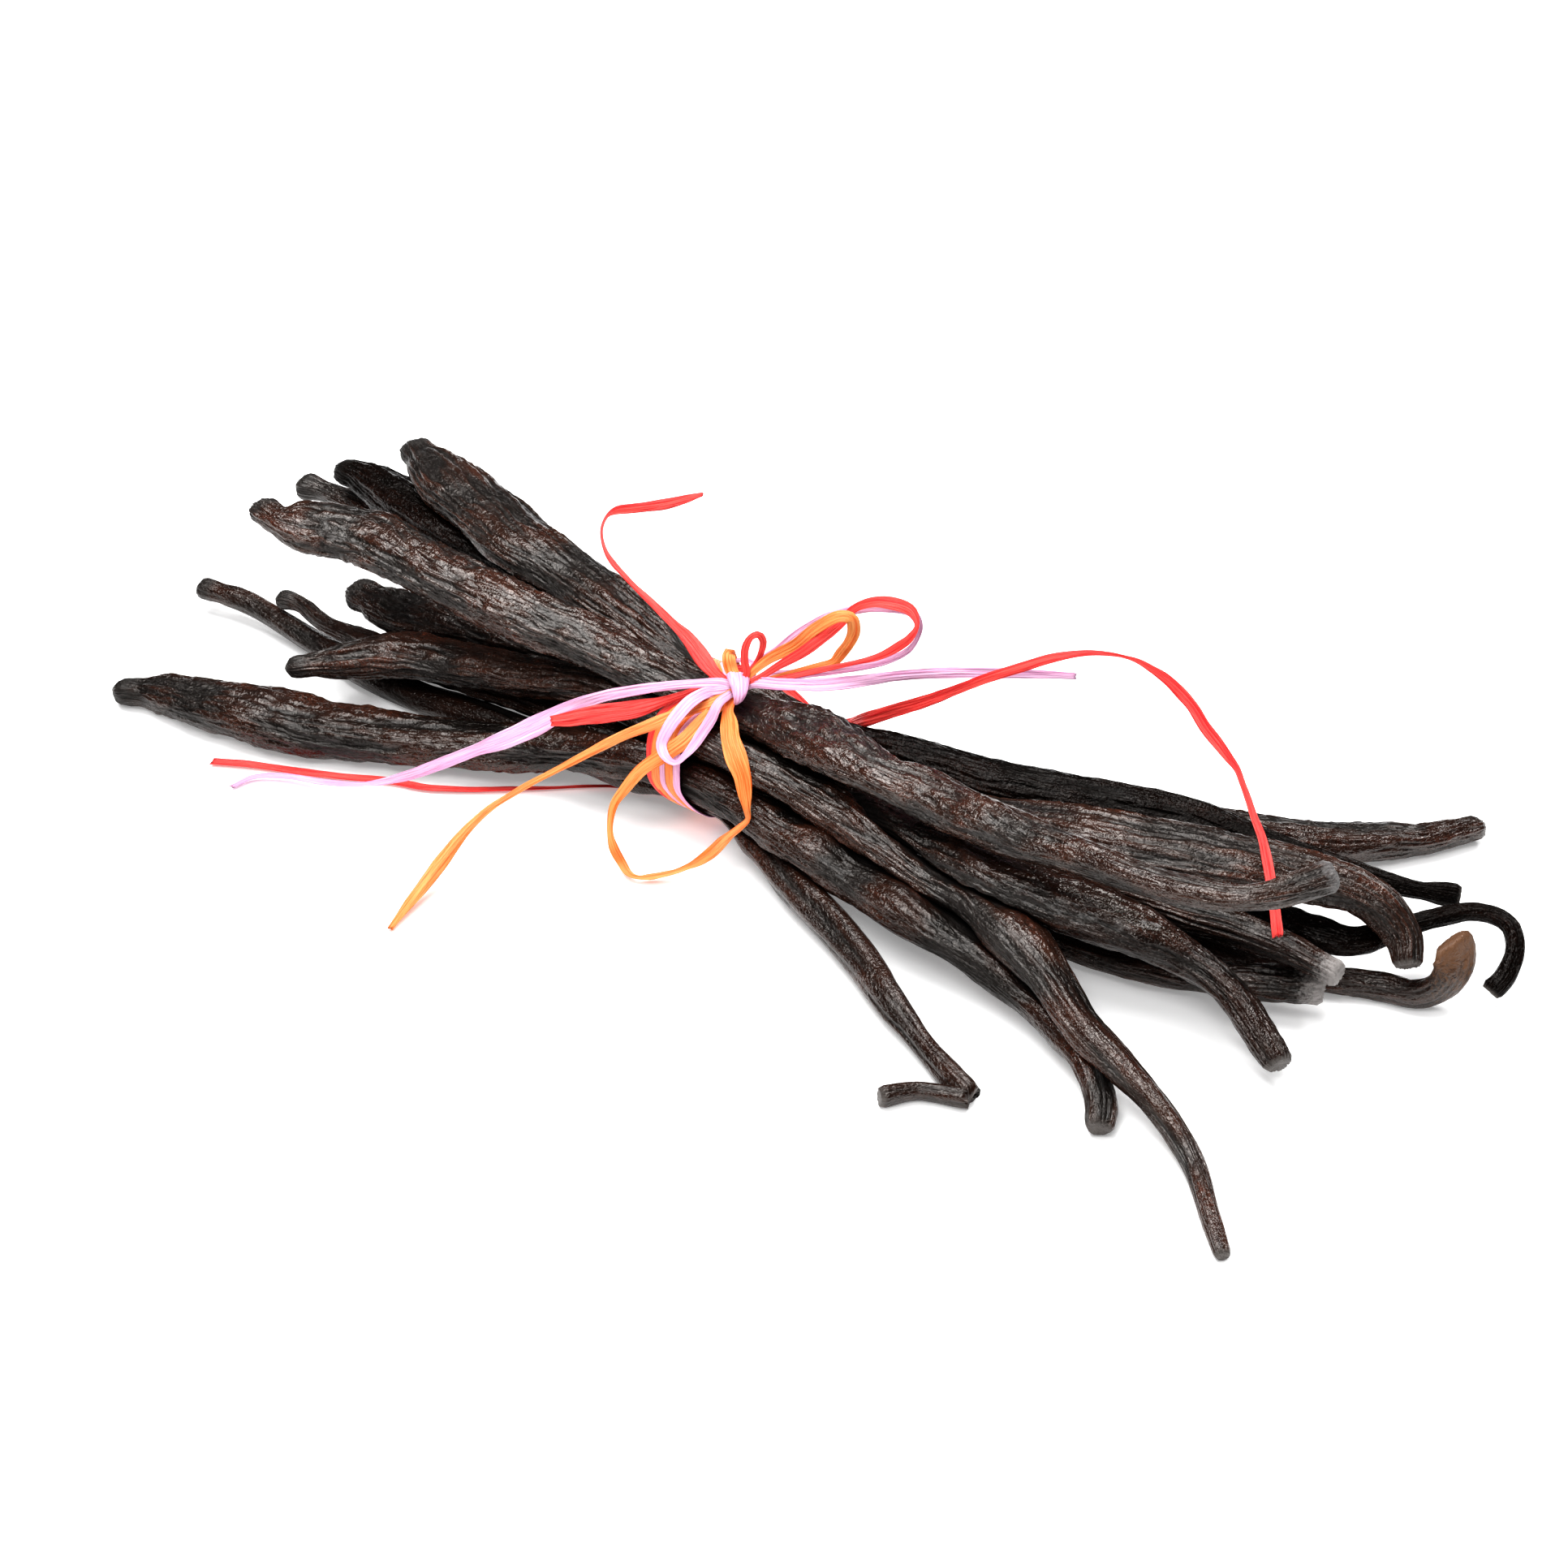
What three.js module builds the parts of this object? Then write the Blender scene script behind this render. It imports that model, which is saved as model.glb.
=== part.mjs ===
// A bundle of twelve cured vanilla pods, tied round the waist with paper raffia in red, orange
// and pink. Millimetres, +Z up. +X runs along the bundle, from the blossom ends to the stem ends.
// The origin lies on the table under the middle of the pods. Every course below is measured from
// the tie, which stands at TIE_X, TIE_Y.
import * as THREE from 'three';

// ---- Driving sizes --------------------------------------------------------------------------

const TIE_X = -5.4; // place of the tie from the origin
const TIE_Y = -7.0;

const POD_SIDES = 10; // facets round a pod
const RING_STEP = 7.2; // distance between the rings of a pod on a straight stretch
const RING_BEND = 0.46; // the turn of a course, in radians, that calls for one ring more
const SAMPLE_STEP = 1.3; // distance between the samples that neighbours are measured on
const FLATTENING = 0.045; // how much flatter a pod is for each millimetre of its width
const POD_GAP = 0.4; // room left between two pods that press on each other
const LEAST_SHARE = 0.2; // the least part of its full section that a pressed pod keeps
const BLOSSOM_TIP = [0.5, 0.88]; // size of the two end rings of a closed, round blossom end
const STEM_TIP = [0.86, 1.0]; // the same of a cut stem end

const WAIST_WIDTH = 21; // the oval that the raffia pulls the pods into
const WAIST_HEIGHT = 15.4;
const WAIST_Z = 9.3; // height of its middle
const WAIST_HOLD = 3.6; // half the length over which the raffia holds that oval
const WAIST_FLARE = 13; // distance beyond it at which the room for the pods has doubled

const BAND_GAP = 0.3; // room between the pods and the raffia wound round them
const BAND_THICKNESS = 0.35;
const BAND_STEPS = 22;
// How far the winding drifts along the bundle at each eighth of a turn, from the back (+Y) over
// the top to the front: it slants from the back of the knot to the front of the floor.
const BAND_DRIFT = [-4.5, -4.6, 0.6, -1.7, -0.5, 1.8, 1.4, -1.8];
const BANDS = [
  { name: 'band_red', paint: 'red', along: -2.2, width: 0.7 },
  { name: 'band_orange_left', paint: 'orange', along: -1.15, width: 1.1 },
  { name: 'band_pink_left', paint: 'pink', along: -0.1, width: 0.7 },
  { name: 'band_orange_right', paint: 'orange', along: 0.95, width: 1.1 },
  { name: 'band_pink_right', paint: 'pink', along: 2.1, width: 0.9 },
];

const KNOT_AT = [3.7, -0.9, 19.2];
const KNOT_SIZE = [2.9, 5.2, 2.9];
const KNOT_TURN = THREE.MathUtils.degToRad(36); // from +X towards +Y

const STRAND_THICKNESS = 0.34;
const STRAND_STEP = 3.8; // distance between the rings of a free strand
const SHORT_STRAND = 14; // a strand up to this length has its rings twice as close
const NO_ROLL = [0, 0]; // the flat of a strand isn't turned on along its route

// ---- Colours --------------------------------------------------------------------------------

const PAINTS = {
  pod: { color: '#2c1c17', roughness: 0.45, metalness: 0 },
  red: { color: '#ea3a38', roughness: 0.55, metalness: 0 },
  orange: { color: '#f99a45', roughness: 0.55, metalness: 0 },
  pink: { color: '#f0bfe2', roughness: 0.55, metalness: 0 },
};

// ---- The pods -------------------------------------------------------------------------------

// A course is a row of stations from the blossom end to the stem end: x, y, z, width and, where a
// pod isn't as thick as FLATTENING makes it, its thickness. roll turns the flat of the pod about
// its course, in degrees at the blossom end and at the stem end.
const PODS = [
  {
    name: 'pod_front_wide',
    roll: [-10, -20],
    course: [
      [-80.5, -31, 2, 4.4], [-74.5, -28, 2.2, 6.6], [-65, -26, 2.7, 10.2],
      [-46.5, -20.5, 2.8, 11], [-35, -15, 3.2, 10], [-22.5, -10.5, 4.6, 8.4], [-6, -8.4, 8, 6],
      [5, -8.2, 8.2, 5.8], [20.5, -8.4, 7, 9.6], [29.4, -9.3, 6.4, 9.8], [45.4, -12.3, 5.4, 8.8],
      [52, -13.5, 4.4, 6.4], [64.5, -17.4, 3.4, 4.6], [70.5, -22.8, 2.2, 3.8],
      [72.5, -26.4, 1.5, 3.4],
    ],
  },
  {
    name: 'pod_front_tail',
    roll: [0, -20],
    course: [
      [-59.5, -18.4, 7, 3], [-53.5, -12.4, 7.6, 6.2], [-48.5, -8.2, 8, 7.6],
      [-39, -5.4, 8.6, 7.8], [-28, -3, 9.8, 7.2], [-17, -1.2, 11.4, 6.2], [-4, -4.6, 13.2, 5.4],
      [6, -5.2, 12.8, 5.4], [18.7, -4.9, 11.5, 6.6], [36.3, -7.3, 8.7, 6.6],
      [44.2, -8.6, 8.6, 6.6], [51.5, -11, 8.6, 7.4], [59, -14.4, 7.4, 5.8],
      [66, -17.8, 5.8, 4.6], [77.5, -21.6, 3.2, 3.5], [83.2, -25, 1.8, 2.8],
      [92.6, -34.8, 0.9, 1.9],
    ],
  },
  {
    name: 'pod_low_blade',
    roll: [10, 40],
    course: [
      [-89, -6.8, 3.4, 3.4], [-81, -5.6, 3.2, 3.4], [-72.5, -6, 2.7, 3.6], [-62.5, -7, 2.3, 4.2],
      [-48.5, -7.8, 2.2, 5.2], [-34.5, -5.6, 2.4, 6.2], [-12, -6, 3.6, 5], [0, -6, 4, 5],
      [14, -9.6, 4.2, 4.6], [21, -12.8, 3.8, 5], [36.2, -19.5, 3, 4.2], [42.8, -23.4, 2.6, 3.8],
      [49.3, -26.6, 2, 2.8], [54.6, -28.8, 1.6, 3.2], [58, -30.2, 1.3, 2.8],
      [52.4, -32.8, 1.1, 2.4], [49.8, -36.2, 1.3, 2.8],
    ],
  },
  {
    name: 'pod_low_dark',
    roll: [0, 10],
    course: [
      [-74.5, -5, 6, 3.4], [-71, -4.4, 6, 2.8], [-64.5, -5.8, 5.8, 2.6], [-58.5, -5.5, 5.6, 3.4],
      [-48, -4.5, 4.7, 5.4], [-29, -2.9, 4.4, 5.8], [-10, -2.2, 4.2, 4.8], [2, -1.8, 3.9, 4.8],
      [16, -2.6, 3.6, 4.8], [41, -3.2, 3.9, 5.2], [52.5, -2.8, 3.2, 3.8], [62.5, -1.2, 3.2, 3.8],
      [70, 1, 3.6, 4], [77, 3.8, 4.4, 4.8], [83.2, 6.2, 5.2, 5.2],
    ],
  },
  {
    name: 'pod_mid_curved',
    roll: [20, -20],
    course: [
      [-65, 0.4, 8.2, 4.4], [-60, 0, 8.2, 5.8], [-55, -0.4, 8.4, 7], [-44.5, 0.5, 8.8, 7.4],
      [-32, 1.5, 9.4, 6.2], [-14, -0.6, 9.8, 5.6], [-3, -3, 9.4, 5.4], [8, -3.4, 9.4, 5.4],
      [23, -3.5, 10.2, 6], [34.2, -3.9, 10.3, 7], [45.2, -5, 10.9, 8.6], [55.1, -4, 10.5, 10],
      [62.9, -2.6, 9.5, 8.8], [69.5, -1.6, 7.8, 5.8], [75.5, -2.4, 6.4, 4.8],
      [84.5, -6.8, 3, 4.2],
    ],
  },
  {
    name: 'pod_top',
    roll: [-10, 10],
    course: [
      [-72, -8.6, 23.4, 4.6], [-67, -9.2, 22.8, 5.6], [-64.5, -7.7, 22.2, 9.6],
      [-61.5, -5.2, 21.6, 11], [-56.5, -3.4, 21.2, 11], [-49, -3.6, 20.8, 9.6],
      [-33, -3.4, 19.4, 8.8], [-22.5, -2.2, 18.2, 8.2], [-6, -0.4, 15.4, 6.6],
      [6, 0.2, 15.2, 6.4], [14.5, -0.2, 16.2, 9], [22.5, -2.1, 16.8, 7.6], [28, -3.3, 16.9, 6],
      [32.8, -2.5, 16.3, 7], [48.1, -5, 18.1, 5.8], [55.6, -5.4, 19.2, 4.8],
      [63.6, -6.4, 20.3, 4.2], [70.8, -6.2, 21.4, 3.6], [77.5, -4.8, 22.6, 3.2],
      [83.5, 3.2, 23.4, 4.4],
    ],
  },
  {
    name: 'pod_back_floor',
    roll: [0, -15],
    course: [
      [-88.8, 14.4, 10.6, 5], [-84, 15.4, 10.4, 4], [-78, 15.6, 10.2, 3.6],
      [-64.5, 14.5, 9.6, 4.6], [-47.5, 13, 9.2, 5.2], [-29, 10, 8.8, 5], [-12, 8.8, 8.6, 5],
      [0, 8.2, 8, 5], [13, 10.6, 7, 5.2], [30, 17, 5.6, 5.4], [46, 24.4, 4, 5.6],
      [65.6, 32.6, 2.6, 6.8], [71.6, 36.6, 2.4, 7], [75.6, 40.2, 2.2, 6.2],
      [78.6, 42.8, 2, 4.6], [83.6, 50, 1.8, 3.6],
    ],
  },
  {
    name: 'pod_back_black',
    roll: [-10, 30],
    course: [
      [-81.5, 15.6, 15, 3.8], [-77, 16, 15, 6.4], [-69, 15, 14.8, 8.2], [-58, 13.2, 14.4, 8.4],
      [-42.5, 10.8, 13.4, 7.4], [-26, 7.4, 12, 6.2], [-12, 5.2, 10.4, 5.8], [2, 4.4, 9.4, 5.4],
      [15, 7, 10.4, 6.4], [26, 9.6, 10.5, 6.6], [37, 12.4, 10.4, 6.4], [56, 19.4, 9.7, 5.4],
      [66, 21.8, 8.7, 4.4], [75, 23.8, 7.8, 3.4], [85, 27, 7, 2.2], [87.5, 28.2, 6.8, 2.8],
      [89.5, 29.2, 6.6, 2.8],
    ],
  },
  {
    name: 'pod_back_ridged',
    roll: [-10, 10],
    course: [
      [-72.8, 22.4, 18.6, 5], [-67, 20.2, 18.6, 7.8], [-59.5, 17.2, 18.6, 10.8],
      [-50.5, 14.4, 18.4, 11.2], [-41.5, 11.4, 18, 10.8], [-33.5, 10.2, 17.4, 9.6],
      [-23, 8, 16.6, 8.4], [-8, 5.6, 14.2, 6.6], [3, 5.2, 13.2, 6.2], [16, 4.6, 12.2, 5.6],
      [32.5, 4.4, 10.6, 4.8], [51.5, 5.2, 13.3, 8.6], [66, 10.2, 13.5, 9], [77, 14.8, 12.6, 6.6],
      [81.8, 16.4, 11.8, 5.6], [85.4, 16.5, 10.6, 5.2], [88.4, 15.6, 8.6, 4.4],
      [90.2, 13.4, 6.7, 3.4],
    ],
  },
  {
    name: 'pod_hook',
    roll: [0, 10],
    course: [
      [-52, 24, 4, 3.6], [-42, 19.5, 4, 4.8], [-26, 13, 4, 5], [-12, 8.6, 4.2, 5],
      [0, 6, 4.4, 5], [14, 7.4, 4.4, 5.2], [30, 10.2, 4.6, 5.2], [46, 11.8, 5, 5],
      [71.5, 13.6, 5.4, 4.6], [78, 13.8, 5.6, 4.6], [82.5, 14.8, 5.8, 3.6], [88, 22, 6.8, 2.6],
      [93, 26.6, 7.6, 2.2], [96.5, 27, 7.2, 2.2], [98.5, 25, 6, 2.2], [99, 21.8, 3.8, 2.4],
      [98.2, 20, 2.2, 2.8],
    ],
  },
  {
    name: 'pod_curl',
    roll: [0, -70],
    course: [
      [-60, 15, 5, 3.4], [-48, 11.8, 5, 4.4], [-30, 7, 4.8, 4.8], [-14, 3, 4.4, 4.8],
      [0, 2.2, 4, 4.8], [14, 3, 3.8, 5], [32, 5, 3.4, 5.4], [50, 6.4, 3, 4.4],
      [73, 7.6, 2.2, 4.2], [79, 10.4, 1.8, 3.8], [87.5, 14, 1.8, 4], [91, 14.6, 2.1, 4.4, 3],
      [93.4, 15.8, 3.4, 5.4, 2.4], [94.2, 17.2, 5.2, 6.4, 1.9], [93.8, 18, 7.2, 6.6, 1.5],
      [93, 17.8, 9, 5.4, 1.4],
    ],
  },
  {
    name: 'pod_mid_red',
    roll: [0, 15],
    course: [
      [-46, 6.5, 10.4, 3.6], [-34, 4.8, 10.4, 4.4], [-18, 2.4, 10, 4.8], [-6, 0.6, 9.4, 5],
      [6, 0.4, 9.4, 5], [20, 1.2, 9.6, 5.2], [35, 1.6, 9.8, 5.2], [48, 1.8, 9.8, 5],
      [64, 3, 9.6, 4.6], [71, 4.4, 9.6, 4.6], [77.5, 5, 9.4, 4], [82, 4.8, 9.2, 3.2],
      [85.5, 4.6, 9, 3.2],
    ],
  },
];

// ---- The free strands of raffia -------------------------------------------------------------

// A route is a row of x, y, z, from the end at the tie.
const STRANDS = [
  {
    name: 'tail_pink_left',
    paint: 'pink',
    width: 1.6,
    route: [
      [1.7, -1.4, 19.4], [-0.8, -3.2, 19.4], [-4.1, -5.5, 19], [-7.3, -8, 18.4],
      [-10.5, -10.7, 17.6], [-13.9, -13.1, 15.7], [-17.2, -15.7, 13.3], [-19.9, -18.2, 11.6],
      [-23, -20.3, 9.9], [-26.7, -22.6, 7.7], [-31.7, -25.2, 4.8], [-37.1, -27.3, 2.5],
      [-43, -28.9, 1.2], [-48.6, -30.7, 0.8], [-52, -33.1, 0.6], [-52.9, -36.1, 0.5],
    ],
  },
  {
    name: 'tail_red_left',
    paint: 'red',
    width: 2,
    route: [
      [-0.6, -2.1, 18.3], [-2.5, -4.2, 17.6], [-3.8, -6, 17.2], [-5.1, -7.6, 16.8],
      [-7, -9.4, 16.3], [-8.7, -11.4, 16.3], [-10.7, -13.7, 16.3], [-11.9, -15.4, 16.3],
      [-13.2, -17, 16.4],
    ],
  },
  {
    name: 'tail_orange_left',
    paint: 'orange',
    width: 1.3,
    route: [
      [3, -2.8, 18.6], [1.3, -5, 17.8], [-0.7, -7.5, 17.2], [-3.1, -10.2, 16], [-5.4, -12.3, 14.8],
      [-7.5, -14.5, 13.4], [-9.7, -16.8, 11.8], [-12, -18.9, 10.1], [-14.1, -21, 8.6],
      [-15.6, -23.1, 7.4], [-16.8, -25.6, 6.4], [-17.5, -29.3, 5], [-17.4, -34.2, 3.2],
      [-17, -39.4, 1.6], [-16, -45.5, 0.5],
    ],
  },
  {
    name: 'tail_red_back',
    paint: 'red',
    width: 1.3,
    route: [
      [-0.1, 0, 19.2], [-2.3, 0.7, 19.7], [-4.5, 1.6, 20.4], [-6.9, 2.6, 21], [-10.1, 3.6, 21.5],
      [-12.8, 4.5, 21.9], [-15.7, 5.5, 22.2], [-18.4, 6.3, 22.6], [-20.9, 7.2, 23],
      [-23.3, 8.1, 23.4], [-25.3, 9.1, 23.9], [-27.1, 10.5, 24.6], [-28.5, 12.2, 25.1],
      [-29.2, 14.2, 25.7], [-29.1, 16.1, 25.7], [-27.9, 18.1, 25.5], [-26.6, 19.9, 25.4],
      [-25, 21.8, 25.5], [-23.4, 24.2, 25.7], [-22.3, 26, 25.9],
    ],
  },
  {
    name: 'tail_pink_right',
    paint: 'pink',
    width: 1.5,
    route: [
      [5.1, 0.4, 20], [8.6, 1.3, 20.6], [13.7, 3.7, 21.2], [17.5, 7.1, 21.5], [20.3, 10.2, 21.6],
      [24.5, 13.9, 21.7], [28.8, 18.5, 20.9], [33.1, 23.1, 19.9], [36.6, 26.3, 19.3],
    ],
  },
  {
    name: 'tail_red_arch',
    paint: 'red',
    width: 1.4,
    route: [
      [0.2, 13.2, 10.4], [2.1, 13.4, 9.7], [4.1, 13.2, 8.7], [6.6, 13, 7.6], [9.7, 13.3, 8],
      [16.1, 9.5, 13.7], [20.4, 9.4, 16.8], [25.3, 9, 20.4], [30.2, 8.6, 24.4], [34.6, 8.8, 27.8],
      [38.4, 9.8, 30.2], [41.8, 11.4, 32], [45.1, 13.3, 32.9], [47.5, 14.7, 32.9],
      [48.8, 15.4, 32.7], [50.3, 16.1, 32.3], [52.1, 16.5, 31.6], [53.9, 16.9, 30.7],
      [56, 16.9, 29.5], [57.9, 16.6, 28.4], [60, 15.8, 27], [62.1, 15.3, 25.8], [64.1, 14.7, 24.7],
      [65.4, 14.3, 24], [66.8, 13.3, 23], [68, 12.4, 22.2], [69.7, 11, 21], [71.6, 9.5, 19.9],
      [73.3, 7.7, 18.8], [75.8, 4.7, 17.1], [79.1, 0.4, 14.6],
    ],
  },
  {
    name: 'tail_red_floor',
    paint: 'red',
    width: 1.2,
    route: [
      [-0.9, -1.8, 0.5], [-7.1, -4.1, 0.5], [-12.4, -6.6, 0.5], [-15.5, -8.9, 0.5],
      [-19.2, -12, 0.5], [-23.4, -15.3, 0.5], [-27.6, -18.4, 0.5], [-32.2, -21.2, 0.5],
      [-37, -23, 0.5], [-42.4, -25.8, 0.5], [-47.5, -28.1, 0.5], [-53.3, -30.5, 0.5],
      [-59.1, -33.5, 0.5],
    ],
  },
  {
    name: 'loop_orange_front',
    paint: 'orange',
    width: 1.4,
    route: [
      [2.7, -3.2, 17.6], [2.6, -4.2, 17.4], [2.5, -7.1, 16.7], [2.1, -9.7, 15.6], [0.5, -11.9, 14],
      [-1.8, -13.7, 11.7], [-3, -15.5, 9.4], [-3.6, -17, 7.7], [-3.3, -18.3, 5.8],
      [-2.6, -19.2, 4.4], [-1.6, -19.8, 3.2], [-0.5, -19.8, 1.6], [1.2, -20.4, 0.9],
      [2.5, -20.2, 0.8], [3.7, -19.3, 0.9], [4.9, -18.2, 1.1], [6, -17.2, 1.4], [7.1, -16.1, 2],
      [8.8, -15.7, 3.5], [9.9, -14.7, 4.7], [11, -14.2, 6.3], [12.2, -13.8, 7.9],
      [13.2, -13.2, 9.1], [13.9, -12.5, 10.2], [13.6, -12.3, 11.6], [13, -11.8, 13],
      [11.9, -10.9, 15], [10.2, -9.9, 16.6], [8.2, -8.3, 17.6], [6.4, -6.2, 18.1],
      [4.9, -4.4, 18.4],
    ],
  },
  {
    name: 'loop_pink_front',
    paint: 'pink',
    width: 1.5,
    route: [
      [1.4, -2.6, 18.8], [1, -3.5, 19], [0.6, -6.3, 19], [0.3, -8.5, 18.1], [-0.1, -10.2, 16.7],
      [-0.1, -11.6, 15.1], [1.6, -12.8, 14.5], [2.8, -12.6, 14.1], [3.7, -11.9, 15.1],
      [4, -10.5, 15.9], [4.2, -8.9, 17.1], [4.5, -7.4, 18.5], [4.4, -5.8, 19.8],
    ],
  },
  {
    name: 'loop_orange_right',
    paint: 'orange',
    width: 1.5,
    route: [
      [4.9, 1.3, 21.3], [5.8, 2.9, 22.4], [7, 4, 23.3], [8.4, 4.9, 24.4], [10.9, 5.8, 27.3],
      [13.7, 7, 29.6], [14.9, 7.8, 29.3], [15.2, 8, 27.6], [14.5, 8.1, 25.5], [13.4, 7.8, 23.5],
      [12.7, 7.2, 22.3], [11.2, 6.3, 21.6], [8.3, 4.4, 20.4],
    ],
  },
  {
    name: 'loop_red_right',
    paint: 'red',
    width: 1.3,
    route: [
      [6.1, 1.3, 20.9], [7.5, 2.3, 22.2], [10.2, 4.2, 24.5], [11.9, 6.1, 26.3], [13.1, 8.3, 27.8],
      [14, 9.6, 29.4], [16.4, 10.3, 30.9], [18.9, 10.8, 31.4], [21.4, 11.2, 31.1],
      [22.8, 10.5, 29.9], [22.6, 9.4, 28.6], [21.2, 9, 27], [19, 7.9, 25.2], [16.1, 6.4, 23.9],
      [11.6, 4.1, 22.1],
    ],
  },
  {
    name: 'loop_pink_right',
    paint: 'pink',
    width: 1.3,
    route: [
      [3.8, 3, 20.6], [5.8, 5.2, 22.6], [7.1, 6.3, 24.2], [9, 8, 26], [11.5, 9.4, 27.8],
      [14.2, 10.9, 28.9], [18.2, 11.2, 30.3], [20.9, 12, 30.3], [22, 12.1, 29], [21.7, 12.5, 26.7],
      [20.5, 12.1, 24.4], [18, 11.1, 22.5], [12.9, 9.3, 20.3], [8.1, 7.2, 18.8], [4.9, 4.6, 18.6],
    ],
  },
  {
    name: 'loop_red_small',
    paint: 'red',
    width: 0.9,
    route: [
      [4.3, 0.3, 21], [3.7, 0.7, 22.4], [3.5, 1.2, 24.2], [3.8, 2, 25.4], [4.5, 2.6, 25.7],
      [4.9, 3, 24.7], [4.5, 3, 22.6], [4, 2.8, 21.4],
    ],
  },
];

// ---- Courses and their frames ---------------------------------------------------------------

// The curve through the stations, sampled at even steps. Each sample holds its centre, the
// direction of the course, the two directions of the section and the half sizes along those.
function sampleCourse(rows, turns, step, depthOf) {
  const centres = rows.map((row) => new THREE.Vector3(row[0], row[1], row[2]));
  const curve = new THREE.CatmullRomCurve3(centres, false, 'centripetal');
  const widths = new THREE.SplineCurve(rows.map((row, i) => new THREE.Vector2(i, row[3])));
  const depths = new THREE.SplineCurve(rows.map((row, i) => new THREE.Vector2(i, depthOf(row))));
  const length = curve.getLength();
  const count = Math.max(2, Math.round(length / step));
  const samples = [];
  let side = null;
  for (let i = 0; i <= count; i += 1) {
    const share = i / count;
    const t = curve.getUtoTmapping(share);
    const ahead = curve.getTangent(t).normalize();
    side = side ?? new THREE.Vector3(0, 0, 1).cross(ahead);
    side = side.clone().addScaledVector(ahead, -side.dot(ahead)).normalize();
    const roll = THREE.MathUtils.degToRad(THREE.MathUtils.lerp(turns[0], turns[1], share));
    const across = side.clone().applyAxisAngle(ahead, roll);
    samples.push({
      centre: curve.getPoint(t),
      ahead,
      across,
      up: ahead.clone().cross(across),
      halfWidth: widths.getPoint(t).y / 2,
      halfDepth: depths.getPoint(t).y / 2,
      along: share * length,
    });
  }
  return samples;
}

function podDepth(row) {
  return row[4] ?? row[3] * (1 - FLATTENING * row[3]);
}

// The sample at a distance along the course, blended from the two nearest ones.
function sampleAt(samples, along) {
  const step = samples[1].along;
  const at = THREE.MathUtils.clamp(along / step, 0, samples.length - 1);
  const low = Math.min(Math.floor(at), samples.length - 2);
  const blend = at - low;
  const [a, b] = [samples[low], samples[low + 1]];
  return {
    centre: a.centre.clone().lerp(b.centre, blend),
    across: a.across.clone().lerp(b.across, blend).normalize(),
    up: a.up.clone().lerp(b.up, blend).normalize(),
    halfWidth: THREE.MathUtils.lerp(a.halfWidth, b.halfWidth, blend),
    halfDepth: THREE.MathUtils.lerp(a.halfDepth, b.halfDepth, blend),
  };
}

// ---- Solids lofted through rings ------------------------------------------------------------

// One closed solid through rings of equal count. An open row of rings ends in two poles; a closed
// one runs round into itself.
function loft(rings, poles) {
  const sides = rings[0].length;
  const points = rings.flat();
  const faces = [];
  const spans = poles ? rings.length - 1 : rings.length;
  for (let i = 0; i < spans; i += 1) {
    const near = i * sides;
    const far = ((i + 1) % rings.length) * sides;
    for (let k = 0; k < sides; k += 1) {
      const next = (k + 1) % sides;
      faces.push(near + k, near + next, far + k);
      faces.push(near + next, far + next, far + k);
    }
  }
  if (poles) {
    const last = (rings.length - 1) * sides;
    points.push(poles[0], poles[1]);
    for (let k = 0; k < sides; k += 1) {
      const next = (k + 1) % sides;
      faces.push(points.length - 2, next, k);
      faces.push(points.length - 1, last + k, last + next);
    }
  }
  const geometry = new THREE.BufferGeometry().setFromPoints(points);
  geometry.setIndex(faces);
  geometry.computeVertexNormals();
  return geometry;
}

// ---- How the pods share their room ----------------------------------------------------------

// How far a point lies out from a pod's middle, as a share of the way to its full surface.
function shareOf(pod, point) {
  let nearest = pod.samples[0];
  let least = Infinity;
  for (const sample of pod.samples) {
    const distance = sample.centre.distanceToSquared(point);
    if (distance < least) {
      least = distance;
      nearest = sample;
    }
  }
  const away = point.clone().sub(nearest.centre);
  const beyond = Math.abs(away.dot(nearest.ahead));
  const pastEnd = Math.max(0, beyond - SAMPLE_STEP);
  const across = away.dot(nearest.across) / nearest.halfWidth;
  const up = away.dot(nearest.up) / nearest.halfDepth;
  return Math.hypot(across, up, pastEnd / nearest.halfDepth);
}

// The drift of the winding along the bundle at an angle round it, eased between the eighths.
function bandDrift(angle) {
  const turn = ((angle / (2 * Math.PI)) * BAND_DRIFT.length + BAND_DRIFT.length) % BAND_DRIFT.length;
  const low = Math.floor(turn);
  const blend = THREE.MathUtils.smoothstep(turn - low, 0, 1);
  return THREE.MathUtils.lerp(BAND_DRIFT[low], BAND_DRIFT[(low + 1) % BAND_DRIFT.length], blend);
}

// Whether a point lies inside the room that the raffia leaves: an oval that opens to both sides.
function withinWaist(point) {
  const y = point.y / (WAIST_WIDTH / 2);
  const z = (point.z - WAIST_Z) / (WAIST_HEIGHT / 2);
  const fromBand = Math.abs(point.x - bandDrift(Math.atan2(z, y)));
  const flare = Math.max(0, fromBand - WAIST_HOLD) / WAIST_FLARE;
  return Math.hypot(y, z) <= 1 + flare * flare;
}

// The largest share of its section that a pod can fill in one direction from its middle: up to
// the table, the raffia, or the seam halfway to the next pod.
function freeShare(pod, others, centre, reach) {
  const gap = POD_GAP / reach.length();
  const point = new THREE.Vector3();
  const fits = (share) => {
    point.copy(centre).addScaledVector(reach, share);
    if (point.z < 0 || !withinWaist(point)) {
      return false;
    }
    return others.every((other) => shareOf(other, point) - share >= gap);
  };
  if (fits(1)) {
    return 1;
  }
  let [low, high] = [0, 1];
  for (let i = 0; i < 9; i += 1) {
    const middle = (low + high) / 2;
    [low, high] = fits(middle) ? [middle, high] : [low, middle];
  }
  return Math.max(low, LEAST_SHARE);
}

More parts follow.
